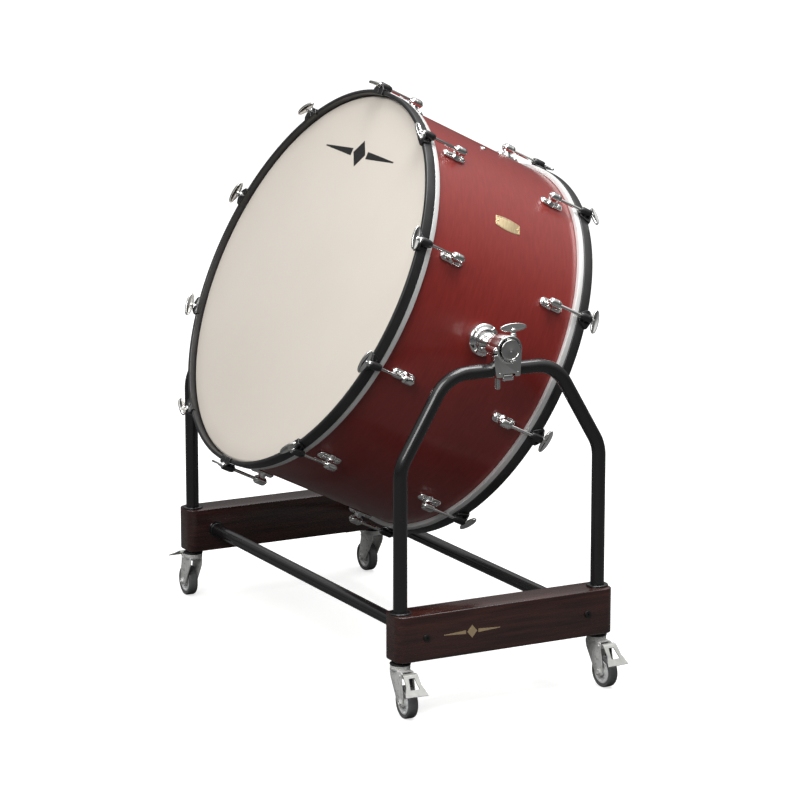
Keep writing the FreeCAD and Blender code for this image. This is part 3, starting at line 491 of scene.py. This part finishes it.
bosses = bmesh.new()
shafts = bmesh.new()
for side, sign in SIDES:
    dome = [(0, 0.45), (0.038, 0.45), (0.038, 0.47), (0.0376, 0.4722), (0.0362, 0.4742),
            (0.034, 0.4756), (0.0302, 0.4768), (0.0292, 0.4776), (0.0286, 0.4798), (0.0268, 0.4814),
            (0.024, 0.482), (0, 0.482)]
    off_centre = at(0, -0.002, 0.003)
    add(bosses, lathe(dome, 72), off_centre @ on_side(sign))
    sleeve = [(0.0092, 0.472), (0.025, 0.472), (0.025, 0.524), (0.0254, 0.525), (0.0254, 0.529),
              (0.025, 0.53), (0.025, 0.5425), (0.024, 0.544), (0.0092, 0.544)]
    add(bosses, lathe(sleeve, 72), on_side(sign))
    for angle in (45, 135, 225, 315):
        out = Matrix.Rotation(math.radians(angle), 4, "Z") @ at(0.0332, 0, 0.4752)
        screw = lathe([(0, 0.004), (0.0026, 0.0038), (0.0034, 0.0028), (0.0036, 0.0006), (0.0042, 0),
                       (0.0042, -0.004), (0, -0.004)], 24)
        add(bosses, screw, off_centre @ on_side(sign) @ out)
    cap_in = 0.5868
    shaft = [(0, 0.47), (0.009, 0.47), (0.009, cap_in), (0.023, cap_in), (0.024, cap_in + 0.001),
             (0.024, cap_in + 0.0036), (0.0234, cap_in + 0.0046), (0.0222, cap_in + 0.005),
             (0.0205, cap_in + 0.005), (0.0201, cap_in + 0.0046), (0.006, cap_in + 0.0046),
             (0.003, cap_in + 0.004), (0.0012, cap_in + 0.0028), (0, cap_in + 0.0026)]
    add(shafts, lathe(shaft, 72), on_side(sign))
make_piece("boss_castings", bosses, [chrome], "drum", ["pivot_bosses"])
make_piece("tilt_shafts", shafts, [chrome], "drum", ["pivot_shafts"])

# --------------------------------------------------------------------
# Clamp bodies. The lower half of each shaft clamp: a chromed casting that narrows down to the top
# bar of the side frame, with two feet outside the bar and an arm inside for the clamp bolt.

FRAME_X = 0.5555
TUBE_R = 0.016
TOP_BAR_Z = 0.764
CLAMP_IN, CLAMP_OUT, CLAMP_R, SLIT = 0.545, 0.5865, 0.032, 0.0015
MIRROR_X = Matrix.Scale(-1, 4, (1, 0, 0))


def clamp_half(upper):
    """Half of the round housing, with the recess behind the shaft's cap, cut along the slit."""
    profile = [(0.0092, CLAMP_IN), (0.03, CLAMP_IN), (CLAMP_R, CLAMP_IN + 0.002),
               (CLAMP_R, CLAMP_OUT - 0.0025), (CLAMP_R - 0.0006, CLAMP_OUT - 0.001),
               (CLAMP_R - 0.002, CLAMP_OUT - 0.0002), (0.0275, CLAMP_OUT - 0.0002),
               (0.0268, CLAMP_OUT - 0.0008), (0.0262, CLAMP_OUT - 0.004), (0.0092, CLAMP_OUT - 0.004)]
    half = placed(lathe(profile, 96), on_side(1))
    way = 1 if upper else -1
    cut = bmesh.ops.bisect_plane(half, geom=half.verts[:] + half.edges[:] + half.faces[:], dist=1e-6,
                                 plane_co=(0, 0, PIVOT.z + way * SLIT / 2), plane_no=(0, 0, -way),
                                 clear_outer=True)
    bmesh.ops.holes_fill(half, edges=only(bmesh.types.BMEdge, cut["geom_cut"]))
    bmesh.ops.recalc_face_normals(half, faces=half.faces)
    return half


def both_sides(bm, part):
    """Adds a right-hand part and its mirror image on the left."""
    twin = part.copy()
    add(bm, part)
    add(bm, twin, MIRROR_X)


bodies = bmesh.new()
both_sides(bodies, clamp_half(False))
saddle_out = CLAMP_OUT - 0.004
y, foot_low, notch = PIVOT.y, PIVOT.z - 0.062, PIVOT.z - 0.055
front_flank, rear_flank = ((-0.038, 0.803), (-0.037, 0.784)), ((0.032, 0.787), (0.033, 0.803))
for outline, inside, outside in (
        (((-0.0332, TOP_BAR_Z), (0.0306, TOP_BAR_Z)), CLAMP_IN, saddle_out - 0.0004),
        (((-0.0305, foot_low), (-0.015, foot_low), (-0.015, notch), (0.0165, notch), (0.0165, foot_low),
          (0.0295, foot_low)), FRAME_X + 0.01, saddle_out)):
    saddle = slab([(y + across, height) for across, height in front_flank + outline + rear_flank],
                  outside - inside, 0.0022, 0.0013)
    both_sides(bodies, placed(saddle, at(inside, 0, 0) @ UPRIGHT))
for across in (-0.0228, 0.023):
    pin = lathe([(0, 0), (0.003, 0), (0.0028, 0.0012), (0.0016, 0.002), (0, 0.0022)], 24)
    both_sides(bodies, placed(pin, at(saddle_out, y + across, foot_low + 0.0085) @ ALONG_X))
ARM_IN = 0.522
both_sides(bodies, block((ARM_IN, y - 0.012, 0.765), (CLAMP_IN + 0.002, y + 0.012, 0.78), 0.0025))
make_piece("clamp_castings", bodies, [chrome], "stand", ["clamp_bodies"])

# --------------------------------------------------------------------
# Shaft straps. The upper half of each shaft clamp, hinged on a pin at the front and pulled down at
# the back by the wing screw, which passes through its round boss.

WING_X, WING_Y = 0.57, 0.021
WING_SEAT, WING_AT = PIVOT.z + 0.031, PIVOT.z + 0.047
straps = bmesh.new()
both_sides(straps, clamp_half(True))
boss = lathe([(0.0042, 0), (0.009, 0), (0.0078, 0.023), (0.0074, 0.03), (0.0068, 0.0308),
              (0.0042, 0.031)], 40)
both_sides(straps, placed(boss, at(WING_X, WING_Y, PIVOT.z)))
eye = lathe([(0, 0.0026), (0.0016, 0.0024), (0.003, 0.0012), (0.0034, 0), (0.0066, 0),
             (0.0073, -0.0008), (0.0075, -0.002), (0.0075, -0.0372), (0, -0.0372)], 40)
both_sides(straps, placed(eye, at(saddle_out, y - 0.033, PIVOT.z) @ ALONG_X))
make_piece("strap_castings", straps, [chrome], "stand", ["shaft_straps"])

# --------------------------------------------------------------------
# Clamp jaws. Each jaw hooks between the feet outside, runs under the top bar and is pulled up by
# the clamp bolt inside.

JAW_LOW = 0.742
jaws = bmesh.new()
for x_in, x_out, half, low, high, edge in ((ARM_IN, 0.58, 0.014, JAW_LOW, JAW_LOW + 0.008, 0.002),
                                           (0.566, 0.5805, 0.013, JAW_LOW + 0.0005, 0.7565, 0.0035),
                                           (ARM_IN, 0.54, 0.012, JAW_LOW + 0.001, 0.7615, 0.002)):
    both_sides(jaws, block((x_in, y - half, low), (x_out, y + half, high), edge))
make_piece("under_jaws", jaws, [chrome], "stand", ["clamp_jaws"])

# --------------------------------------------------------------------
# Clamp bolts. A socket-head bolt through arm and jaw with a long knurled nut hanging below.

CLAMP_BOLT_X = 0.531


def socket_head(radius, height, socket, depth, dome=0.0):
    """Bolt head from z 0 up, with a six-sided socket sunk into its top."""
    bm = lathe([(0, 0), (radius, 0), (radius, height - max(dome, 0.0008)),
                (radius - 0.0008, height - dome / 3), (socket * 1.25, height), (0, height)], 36)
    top = [f for f in bm.faces if f.normal.z > 0.9 and f.calc_center_median().xy.length < socket]
    bmesh.ops.delete(bm, geom=top, context="FACES")
    rim = [e for e in bm.edges if e.is_boundary]
    hexagon = bmesh.ops.create_circle(bm, cap_ends=False, segments=6, radius=socket)
    bmesh.ops.translate(bm, vec=(0, 0, height), verts=hexagon["verts"])
    sides = list({e for v in hexagon["verts"] for e in v.link_edges})
    bmesh.ops.bridge_loops(bm, edges=rim + sides)
    walls = bmesh.ops.extrude_edge_only(bm, edges=sides)["geom"]
    deep = only(bmesh.types.BMVert, walls)
    bmesh.ops.translate(bm, vec=(0, 0, -depth), verts=deep)
    bmesh.ops.contextual_create(bm, geom=[e for e in only(bmesh.types.BMEdge, walls)
                                          if e.verts[0] in deep and e.verts[1] in deep])
    bmesh.ops.recalc_face_normals(bm, faces=bm.faces)
    return bm


def knurled(radius, length, around=28, rows=5):
    """A knurled cylinder from z 0 up, with eased ends."""
    heights = [0.0012 + (length - 0.0024) * i / rows for i in range(rows + 1)]
    bm = lathe([(0, 0), (radius - 0.001, 0)] + [(radius, h) for h in heights]
               + [(radius - 0.001, length), (0, length)], around)
    grips = [f for f in bm.faces if abs(f.normal.z) < 0.1]
    bmesh.ops.inset_individual(bm, faces=grips, thickness=0.00025, depth=-0.0004)
    return bm


bolts = bmesh.new()
shank = lathe([(0, 0.717), (0.004, 0.717), (0.004, 0.781), (0, 0.781)], 24)
for part, height in ((shank, 0), (socket_head(0.0065, 0.0065, 0.003, 0.0035), 0.78),
                     (knurled(0.006, 0.028), 0.714)):
    bmesh.ops.translate(part, vec=(CLAMP_BOLT_X, y, height), verts=part.verts)
    both_sides(bolts, part)
make_piece("clamp_screws", bolts, [chrome], "stand", ["clamp_bolts"])

# --------------------------------------------------------------------
# Tilt wing screws. A stemmed chrome screw with an upright oval wing: loosened by hand, it frees the
# shaft, and the drum tips to the angle wanted.

for side, sign in SIDES:
    wing = lathe([(0, PIVOT.z - 0.017), (0.0034, PIVOT.z - 0.017), (0.004, PIVOT.z - 0.016),
                  (0.004, WING_SEAT + 0.0003), (0.0062, WING_SEAT + 0.0003), (0.0065, WING_SEAT + 0.001),
                  (0.0065, WING_SEAT + 0.0028), (0.0058, WING_SEAT + 0.0036), (0.006, WING_AT - 0.008),
                  (0.0064, WING_AT - 0.0045), (0.004, WING_AT - 0.001), (0, WING_AT)], 32)
    add(wing, oval_plate(0.067, 0.0195, 0.0055), at(0, 0, WING_AT))
    bmesh.ops.translate(wing, vec=(sign * WING_X, WING_Y, 0), verts=wing.verts)
    body = f"tilt_wing_{side}"
    make_piece(f"wing_{side}", wing, [chrome], body, [body])

# --------------------------------------------------------------------
# Base beams. Solid hardwood with rounded ends, stained a very dark mahogany and varnished. Legs
# and caster stems are set into sockets in them.

BEAM_LOW, BEAM_TOP, BEAM_HALF_THICK, BEAM_HALF = 0.127, 0.233, 0.0375, 0.28
mahogany = new_finish("dark_mahogany", (0.03, 0.01, 0.008), 0.0, 0.26,
                      ((7.0, 8.0, (9, 1, 16)), (0.016, 0.0065, 0.0055), (0.052, 0.017, 0.013)),
                      ((24.0, 5.0, (6, 1, 10)), 0.2, 0.34), ((40.0, 6.0, (8, 1, 14)), 0.08, 0.0002),
                      Coat_Weight=0.5, Coat_Roughness=0.12)
for side, sign in SIDES:
    a, b = BEAM_HALF_THICK, BEAM_HALF
    beam = slab([(-a, -b), (a, -b), (a, b), (-a, b)], BEAM_TOP - BEAM_LOW, 0.021, 0.0025)
    bmesh.ops.translate(beam, vec=(sign * FRAME_X, 0, BEAM_LOW), verts=beam.verts)
    make_piece(f"wood_beam_{side}", beam, [mahogany], "stand", [f"base_beam_{side}"], 30)

# --------------------------------------------------------------------
# Beam ornament. The same motif in thin gilt metal, let into the outer face of the right-hand beam.

gilt = new_finish("gilt_metal", (0.78, 0.6, 0.36), 0.8, 0.36, gloss=((120.0, 3.0), 0.28, 0.46))
inlay = ornament(0.072, 0.015, 0.0006)
inlay = placed(inlay, at(FRAME_X + BEAM_HALF_THICK - 0.0003, -0.093, 0.18) @ UPRIGHT)
make_piece("beam_ornament", inlay, [gilt], "stand", ())

# --------------------------------------------------------------------
# Side frames. One 32 mm steel tube each, bent at two shoulders on either side of its level top bar
# and powder-coated gloss black.

gloss_black = new_finish("gloss_black_coat", (0.01, 0.01, 0.011), 0.0, 0.22, None,
                         ((40.0, 3.0), 0.17, 0.28), ((420.0, 2.0), 0.06, 0.0002),
                         Coat_Weight=0.4, Coat_Roughness=0.08)
LEG_Y, BEND_Z, SHOULDER_Y, BEND_R = 0.256, 0.564, 0.138, 0.09
lean = math.atan2(LEG_Y - SHOULDER_Y, TOP_BAR_Z - BEND_Z)


def run_on(bm, edges, along):
    """Pushes an open rim straight on by a vector and returns the new rim."""
    made = bmesh.ops.extrude_edge_only(bm, edges=edges)["geom"]
    old = {v for e in edges for v in e.verts}
    bmesh.ops.translate(bm, vec=along, verts=only(bmesh.types.BMVert, made))
    return [e for e in only(bmesh.types.BMEdge, made) if not old.intersection(e.verts)]


for side, sign in SIDES:
    tube = bmesh.new()
    rim = bmesh.ops.create_circle(tube, cap_ends=False, segments=40, radius=TUBE_R)
    start = Vector((sign * FRAME_X, -LEG_Y, BEAM_TOP - 0.045))
    bmesh.ops.translate(tube, vec=start, verts=rim["verts"])
    edges = tube.edges[:]
    here, heading = start.copy(), Vector((0, 0, 1))
    corners = [Vector((start.x, p, h)) for p, h in ((-LEG_Y, BEND_Z), (-SHOULDER_Y, TOP_BAR_Z),
                                                    (SHOULDER_Y, TOP_BAR_Z), (LEG_Y, BEND_Z))]
    for corner, turn in zip(corners, (lean, math.pi / 2 - lean, math.pi / 2 - lean, lean)):
        setback = BEND_R * math.tan(turn / 2)
        straight = corner - heading * setback - here
        edges = run_on(tube, edges, straight)
        here += straight
        inward = Vector((0, heading.z, -heading.y))
        bent = bmesh.ops.spin(tube, geom=edges, cent=here + inward * BEND_R, axis=(1, 0, 0), angle=-turn,
                              steps=10)
        edges = only(bmesh.types.BMEdge, bent["geom_last"])
        heading = Matrix.Rotation(-turn, 3, "X") @ heading
        here = corner + heading * setback
    run_on(tube, edges, Vector((start.x, LEG_Y, start.z)) - here)
    bmesh.ops.remove_doubles(tube, verts=tube.verts, dist=1e-6)
    bmesh.ops.holes_fill(tube, edges=[e for e in tube.edges if e.is_boundary])
    make_piece(f"arch_tube_{side}", tube, [gloss_black], "stand", [f"side_frame_{side}"])

# --------------------------------------------------------------------
# Leg collars. Turned black rings pressed over the legs to cover the sockets in the beams.

collars = bmesh.new()
CORNER_SIGNS = [(sx, sy) for sx in (1, -1) for sy in (-1, 1)]
for sx, sy in CORNER_SIGNS:
    collar = lathe([(TUBE_R - 0.0002, 0), (0.025, 0), (0.0255, 0.0006), (0.0255, 0.0024),
                    (0.0248, 0.0036), (0.0236, 0.0044), (0.0185, 0.0045), (0.0172, 0.0042),
                    (TUBE_R - 0.0002, 0.0042)], 56)
    add(collars, collar, at(sx * FRAME_X, sy * LEG_Y, BEAM_TOP))
make_piece("socket_collars", collars, [gloss_black], "stand", ["leg_collars"])

# --------------------------------------------------------------------
# Crossbars. Two level black tubes between the beams, each with a welded flange at either end.

CROSSBAR_Y, CROSSBAR_R = 0.209, 0.0155
BEAM_MID = (BEAM_LOW + BEAM_TOP) / 2
reach = FRAME_X - BEAM_HALF_THICK
half = [(CROSSBAR_R, reach - 0.006), (CROSSBAR_R + 0.0012, reach - 0.0046),
        (CROSSBAR_R + 0.0016, reach - 0.003), (0.02, reach - 0.003), (0.0205, reach - 0.0025),
        (0.0205, reach)]
spindle = [(0, -reach)] + [(r, -h) for r, h in reversed(half)] + half + [(0, reach)]
bars = bmesh.new()
for sy in (-1, 1):
    add(bars, lathe(spindle, 48), at(0, sy * CROSSBAR_Y, BEAM_MID) @ ALONG_X)
make_piece("cross_tubes", bars, [gloss_black], "stand", ["crossbars"])

# --------------------------------------------------------------------
# Crossbar bolts. Black button-head socket bolts, one at each end of each crossbar.

bolt_black = new_finish("black_oxide", (0.045, 0.043, 0.042), 0.8, 0.34, None,
                        ((160.0, 3.0), 0.26, 0.42), ((600.0, 2.0), 0.06, 0.0001))
buttons = bmesh.new()
for sx, sy in CORNER_SIGNS:
    for part in (socket_head(0.0085, 0.0045, 0.0028, 0.0026, 0.003),
                 lathe([(0, -0.095), (0.0034, -0.095), (0.004, -0.094), (0.004, 0.0005),
                        (0, 0.0005)], 20)):
        add(buttons, part, at(sx * (FRAME_X + BEAM_HALF_THICK), sy * CROSSBAR_Y, BEAM_MID)
            @ Matrix.Rotation(sx * math.pi / 2, 4, "Y"))
make_piece("button_bolts", buttons, [bolt_black], "stand", ["crossbar_bolts"])

# --------------------------------------------------------------------
# Caster stems. A zinc-plated kingpin with its lock nut, set into the beam, and the black dust ring
# over the swivel bearing.

WHEEL_R, TRAIL = 0.0375, 0.034
# each caster's frame: swivel axis on Z, floor at zero, wheel trailing outward along X
CASTERS = {name: at(sx * FRAME_X, sy * LEG_Y, 0)
           @ Matrix.Rotation(math.radians(swivel) + (0 if sx > 0 else math.pi), 4, "Z")
           for name, sx, sy, swivel in (("front_right", 1, -1, -2), ("rear_right", 1, 1, 4.5),
                                        ("front_left", -1, -1, -2), ("rear_left", -1, 1, 2.5))}
dust_black = new_finish("dust_ring_rubber", (0.012, 0.012, 0.012), 0.0, 0.6, None,
                        ((80.0, 3.0), 0.5, 0.7), ((400.0, 3.0), 0.1, 0.0002))
stems = bmesh.new()


def paint_second(bm):
    """Gives a whole part the second material of its piece."""
    for face in bm.faces:
        face.material_index = 1


for place in CASTERS.values():
    pin = lathe([(0, 0.097), (0.007, 0.097), (0.009, 0.0982), (0.009, 0.1027), (0.006, 0.1027),
                 (0.006, 0.1185), (0.012, 0.1185), (0.012, 0.127), (0.006, 0.127), (0.006, 0.171),
                 (0, 0.172)], 24)
    add(stems, pin, place)
    dust = lathe([(0.006, 0.1162), (0.0232, 0.1162), (0.024, 0.117), (0.024, 0.119), (0.0232, 0.12),
                  (0.016, 0.1206), (0.006, 0.1208)], 48)
    paint_second(dust)
    add(stems, dust, place)
make_piece("kingpins", stems, [zinc, dust_black], "stand", ["caster_stems"])

# --------------------------------------------------------------------
# Caster forks. Pressed from zinc-plated steel: a round crown over the swivel race and two cheeks
# that taper down to the axle. Axle bolt and pedal rivet are headed over outside the cheeks.

CHEEK_IN, CHEEK_OUT = 0.014, 0.0165
RIVET_X, RIVET_Z = 0.031, 0.098
# stands a flat outline drawn in (X, Z) upright, its thickness along -Y
SIDEWAYS = Matrix.Rotation(math.pi / 2, 4, "X")


def fork_cheek():
    """One cheek from y 0 to its thickness, its upper corners and its foot rounded."""
    outline = [(-0.0205, 0.107), (-0.0205, 0.091), (0.0215, 0.027), (0.0455, 0.027), (0.0455, 0.06),
               (0.038, 0.091), (0.038, 0.107)]
    cheek = bmesh.new()
    cheek.faces.new([cheek.verts.new((x, z, 0)) for x, z in outline])
    for which, size in (((1, 4, 5), 0.01), ((0, 6), 0.004), ((2, 3), 0.0105)):
        cheek.verts.ensure_lookup_table()
        wanted = [v for v in cheek.verts for i in which if (v.co.xy - Vector(outline[i])).length < 1e-6]
        ease(cheek, wanted, size, 8, "VERTICES")
    thicken(cheek, cheek.faces[:], CHEEK_OUT - CHEEK_IN)
    rims = [e for e in cheek.edges if abs(e.verts[0].co.z - e.verts[1].co.z) < 1e-5]
    ease(cheek, rims, 0.0007, 2)
    bmesh.ops.recalc_face_normals(cheek, faces=cheek.faces)
    return cheek


for name, place in CASTERS.items():
    fork = bmesh.new()
    crown = lathe([(0.0062, 0.1032), (0.019, 0.1032), (0.0215, 0.1042), (0.0228, 0.1065), (0.023, 0.109),
                   (0.023, 0.1102), (0.0224, 0.1108), (0.0224, 0.1114), (0.023, 0.112), (0.023, 0.1146),
                   (0.0226, 0.1155), (0.021, 0.1157), (0.0062, 0.1157)], 56)
    add(fork, crown, place)
    bridge_half = CHEEK_OUT - 0.0003
    add(fork, block((-0.02, -bridge_half, 0.1032), (0.03, bridge_half, 0.1069), 0.0015), place)
    for low in (CHEEK_IN, -CHEEK_OUT):
        add(fork, fork_cheek(), place @ at(0, low + CHEEK_OUT - CHEEK_IN, 0) @ SIDEWAYS)
    for sign in (-1, 1):
        outward = Matrix.Rotation(-sign * math.pi / 2, 4, "X")
        head = lathe([(0, 0), (0.007, 0), (0.007, 0.003), (0.0062, 0.004), (0.003, 0.004),
                      (0.0026, 0.0034), (0, 0.0033)], 6)
        washer = lathe([(0, -0.001), (0.0092, -0.001), (0.0092, 0.0006), (0.0088, 0.0009),
                        (0, 0.0009)], 32)
        for part in (head, washer):
            add(fork, part, place @ at(TRAIL, sign * CHEEK_OUT, WHEEL_R) @ outward)
        rivet = lathe([(0, -0.004), (0.0036, -0.004), (0.004, 0.0003), (0.0034, 0.0011), (0.0018, 0.0015),
                       (0, 0.0015)], 24)
        add(fork, rivet, place @ at(RIVET_X, sign * CHEEK_OUT, RIVET_Z) @ outward)
    pin = lathe([(0, -CHEEK_OUT), (0.004, -CHEEK_OUT), (0.004, CHEEK_OUT), (0, CHEEK_OUT)], 20)
    add(fork, pin, place @ at(TRAIL, 0, WHEEL_R) @ SIDEWAYS)
    body = f"caster_fork_{name}"
    make_piece(f"fork_{name}", fork, [zinc], body, [body], 35)

# --------------------------------------------------------------------
# Caster wheels. A pale moulded core with stepped rings and a centre boss, and a grey rubber tread
# bonded round it.

core_grey = new_finish("moulded_core", (0.52, 0.53, 0.52), 0.0, 0.42,
                       ((50.0, 4.0), (0.72, 0.73, 0.72), (0.8, 0.81, 0.8)),
                       relief=((500.0, 3.0), 0.08, 0.0001))
tread_grey = new_finish("grey_tread", (0.085, 0.088, 0.088), 0.0, 0.55,
                        ((45.0, 5.0), (0.085, 0.087, 0.087), (0.13, 0.133, 0.132)),
                        relief=((380.0, 4.0), 0.15, 0.0002))
HUB_R, WHEEL_HALF = 0.029, 0.0115
for name, place in CASTERS.items():
    axle = place @ at(TRAIL, 0, WHEEL_R) @ SIDEWAYS
    wheel = bmesh.new()
    face = [(0.0041, 0.0137), (0.0085, 0.0137), (0.009, 0.0132), (0.0094, 0.007), (0.011, 0.0058),
            (0.015, 0.0054), (0.0155, 0.0066), (0.0168, 0.007), (0.0175, 0.0062), (0.0215, 0.0062),
            (0.0232, 0.009), (0.024, 0.0102), (0.0262, 0.0104), (0.0268, 0.0094), (HUB_R + 0.0004, 0.0094)]
    add(wheel, lathe(face + [(r, -h) for r, h in reversed(face)], 72), axle)
    half = [(HUB_R - 0.0012, 0.0098), (HUB_R - 0.0006, 0.0106), (0.033, WHEEL_HALF - 0.0003),
            (0.0345, WHEEL_HALF), (0.0362, WHEEL_HALF - 0.001), (0.0372, WHEEL_HALF - 0.003),
            (WHEEL_R, WHEEL_HALF - 0.0055)]
    tread = lathe(half + [(r, -h) for r, h in reversed(half)], 72)
    paint_second(tread)
    add(wheel, tread, axle)
    body = f"caster_wheel_{name}"
    make_piece(f"wheel_{name}", wheel, [core_grey, tread_grey], body, [body], 35)

# --------------------------------------------------------------------
# Brake pedals. Zinc-plated sheet steel: two ears on the rivet, a level bridge that bends down into
# a flared plate with a window, and a black shoe behind it that grips the tread.

pedal_zinc = new_finish("matt_zinc", (0.6, 0.6, 0.58), 0.4, 0.48,
                        ((60.0, 4.0), (0.4, 0.4, 0.385), (0.52, 0.52, 0.5)),
                        relief=((400.0, 3.0), 0.1, 0.0001))
SHEET, PEDAL_LIFT, LIFTED = 0.0025, math.radians(25), ("front_left", "rear_left")


def pedal_plate():
    """Flat plate with a window, cut across and bent down over a 4 mm radius, then thickened."""
    outline = [(0.043, 0.0175), (0.053, 0.018), (0.078, 0.019), (0.089, 0.0235), (0.104, 0.028)]
    window = [(0.0585, 0.006), (0.059, 0.0068), (0.06, 0.0072), (0.086, 0.0115), (0.087, 0.0105)]
    bm = bmesh.new()
    loops = []
    for points in (outline, window):
        ring_points = [(s, w) for s, w in points] + [(s, -w) for s, w in reversed(points)]
        verts = [bm.verts.new((s, w, 0)) for s, w in ring_points]
        loops += [bm.edges.new(pair) for pair in zip(verts, verts[1:] + verts[:1])]
    bmesh.ops.bridge_loops(bm, edges=loops)
    bend_at, bend_r, turn = 0.049, 0.004, math.atan2(0.0415, 0.036)
    arc = bend_r * turn
    for i in range(7):
        bmesh.ops.bisect_plane(bm, geom=bm.verts[:] + bm.edges[:] + bm.faces[:], dist=1e-7,
                               plane_co=(bend_at + arc * i / 6, 0, 0), plane_no=(1, 0, 0))
    for v in bm.verts:
        past = min(max(v.co.x - bend_at, 0), arc)
        angle = past / bend_r
        rest = max(v.co.x - bend_at - arc, 0)
        v.co = Vector((min(v.co.x, bend_at) + bend_r * math.sin(angle) + rest * math.cos(angle), v.co.y,
                       RIVET_Z + 0.0045 - bend_r * (1 - math.cos(angle)) - rest * math.sin(angle)))
    bmesh.ops.recalc_face_normals(bm, faces=bm.faces)
    if sum(f.normal.z for f in bm.faces) > 0:
        bmesh.ops.reverse_faces(bm, faces=bm.faces)
    bmesh.ops.solidify(bm, geom=bm.faces[:], thickness=SHEET)
    bmesh.ops.recalc_face_normals(bm, faces=bm.faces)
    return bm


for name, place in CASTERS.items():
    if name in LIFTED:
        rivet_at = at(RIVET_X, 0, RIVET_Z)
        place = place @ rivet_at @ Matrix.Rotation(-PEDAL_LIFT, 4, "Y") @ rivet_at.inverted()
    pedal = bmesh.new()
    add(pedal, pedal_plate(), place)
    ear_out = CHEEK_IN - 0.0003
    for low in (-ear_out, ear_out - SHEET):
        ear = slab([(0.0265, 0.0935), (0.048, 0.0937), (0.048, 0.1022), (0.0265, 0.1024)],
                   SHEET, 0.004, 0.0005)
        add(pedal, ear, place @ at(0, low + SHEET, 0) @ SIDEWAYS)
    shoe = block((0.043, -0.006, 0.0766), (0.053, 0.006, 0.1005), 0.0012)
    paint_second(shoe)
    add(pedal, shoe, place)
    body = f"brake_pedal_{name}"
    make_piece(f"pedal_{name}", pedal, [pedal_zinc, dust_black], body, [body], 35)

# --------------------------------------------------------------------
# Floor, light and camera. Floor and room look bright when seen directly and darker in reflections
# and bounced light, which keeps the chrome and the dark lacquer in contrast.


def by_ray(tree, kind, socket, seen):
    """Drives a socket with one value for direct sight; returns the input for every other ray."""
    first, result = {"FLOAT": (2, 0), "RGBA": (6, 2)}[kind]
    choice = tree.nodes.new("ShaderNodeMix")
    choice.data_type = kind
    choice.inputs[first + 1].default_value = seen
    ray = tree.nodes.new("ShaderNodeLightPath")
    tree.links.new(ray.outputs["Is Camera Ray"], choice.inputs[0])
    tree.links.new(choice.outputs[result], socket)
    return choice.inputs[first]


floor_finish = bpy.data.materials.new("studio_floor")
floor_finish.use_nodes = True
tree = floor_finish.node_tree
shader = tree.nodes["Principled BSDF"]
shader.inputs["Roughness"].default_value = 0.9
shader.inputs["Specular IOR Level"].default_value = 0.1
shader.inputs["Emission Color"].default_value = (1, 1, 1, 1)
for kind, name, seen, unseen in (("RGBA", "Base Color", (0.62, 0.62, 0.61, 1), (0.1, 0.1, 0.1, 1)),
                                 ("FLOAT", "Emission Strength", 0.66, 0)):
    by_ray(tree, kind, shader.inputs[name], seen).default_value = unseen
ground = bmesh.new()
bmesh.ops.create_grid(ground, x_segments=1, y_segments=1, size=20)
floor_mesh = bpy.data.meshes.new("studio_floor")
ground.to_mesh(floor_mesh)
ground.free()
floor_mesh.materials.append(floor_finish)
floor = bpy.data.objects.new("studio_floor", floor_mesh)
bpy.context.collection.objects.link(floor)
floor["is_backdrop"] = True

world = bpy.data.worlds.new("studio")
bpy.context.scene.world = world
world.use_nodes = True
nodes, links = world.node_tree.nodes, world.node_tree.links
sky = nodes["Background"]
height = nodes.new("ShaderNodeSeparateXYZ")
links.new(nodes.new("ShaderNodeTexCoord").outputs["Generated"], height.inputs["Vector"])
room = nodes.new("ShaderNodeValToRGB")
stops = room.color_ramp.elements
stops[0].position, stops[1].position = 0.0, 1.0
stops[0].color, stops[1].color = (0.05, 0.05, 0.05, 1), (1.25, 1.25, 1.25, 1)
for position, grey in ((0.1, 0.13), (0.35, 0.2), (0.6, 0.75)):
    stops.new(position).color = (grey, grey, grey, 1)
links.new(height.outputs["Z"], room.inputs["Fac"])
links.new(room.outputs["Color"], by_ray(world.node_tree, "RGBA", sky.inputs["Color"], (1, 1, 1, 1)))
sky.inputs["Strength"].default_value = 1.0


def soft_light(name, at, towards, size, power):
    light = bpy.data.lights.new(name, "AREA")
    light.shape = "RECTANGLE"
    light.size, light.size_y = size
    light.energy = power
    lamp = bpy.data.objects.new(name, light)
    lamp.location = at
    lamp.rotation_euler = (Vector(towards) - Vector(at)).to_track_quat("-Z", "Y").to_euler()
    bpy.context.collection.objects.link(lamp)


soft_light("key_light", (2.2, -2.6, 3.4), (0, 0, 0.7), (2.0, 2.6), 100)
soft_light("top_light", (0.6, 0.6, 3.6), (0, 0, 0.8), (2.6, 1.6), 95)

camera = bpy.data.cameras.new("camera")
camera.sensor_width = 36.0
camera.lens = 154.14
camera.clip_end = 100.0
AZIMUTH, ELEVATION, DISTANCE = math.radians(62.289), math.radians(10.675), 8.1151
PITCH, HEADING = math.radians(90 - 12.134), math.radians(62.046)
eye_point = bpy.data.objects.new("camera", camera)
eye_point.location = DRUM_CENTRE + DISTANCE * Vector((math.sin(AZIMUTH) * math.cos(ELEVATION),
                                                      -math.cos(AZIMUTH) * math.cos(ELEVATION),
                                                      math.sin(ELEVATION)))
eye_point.rotation_euler = (PITCH, 0, HEADING)
bpy.context.collection.objects.link(eye_point)
bpy.context.scene.camera = eye_point
bpy.context.scene.view_settings.view_transform = "Standard"

low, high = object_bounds()
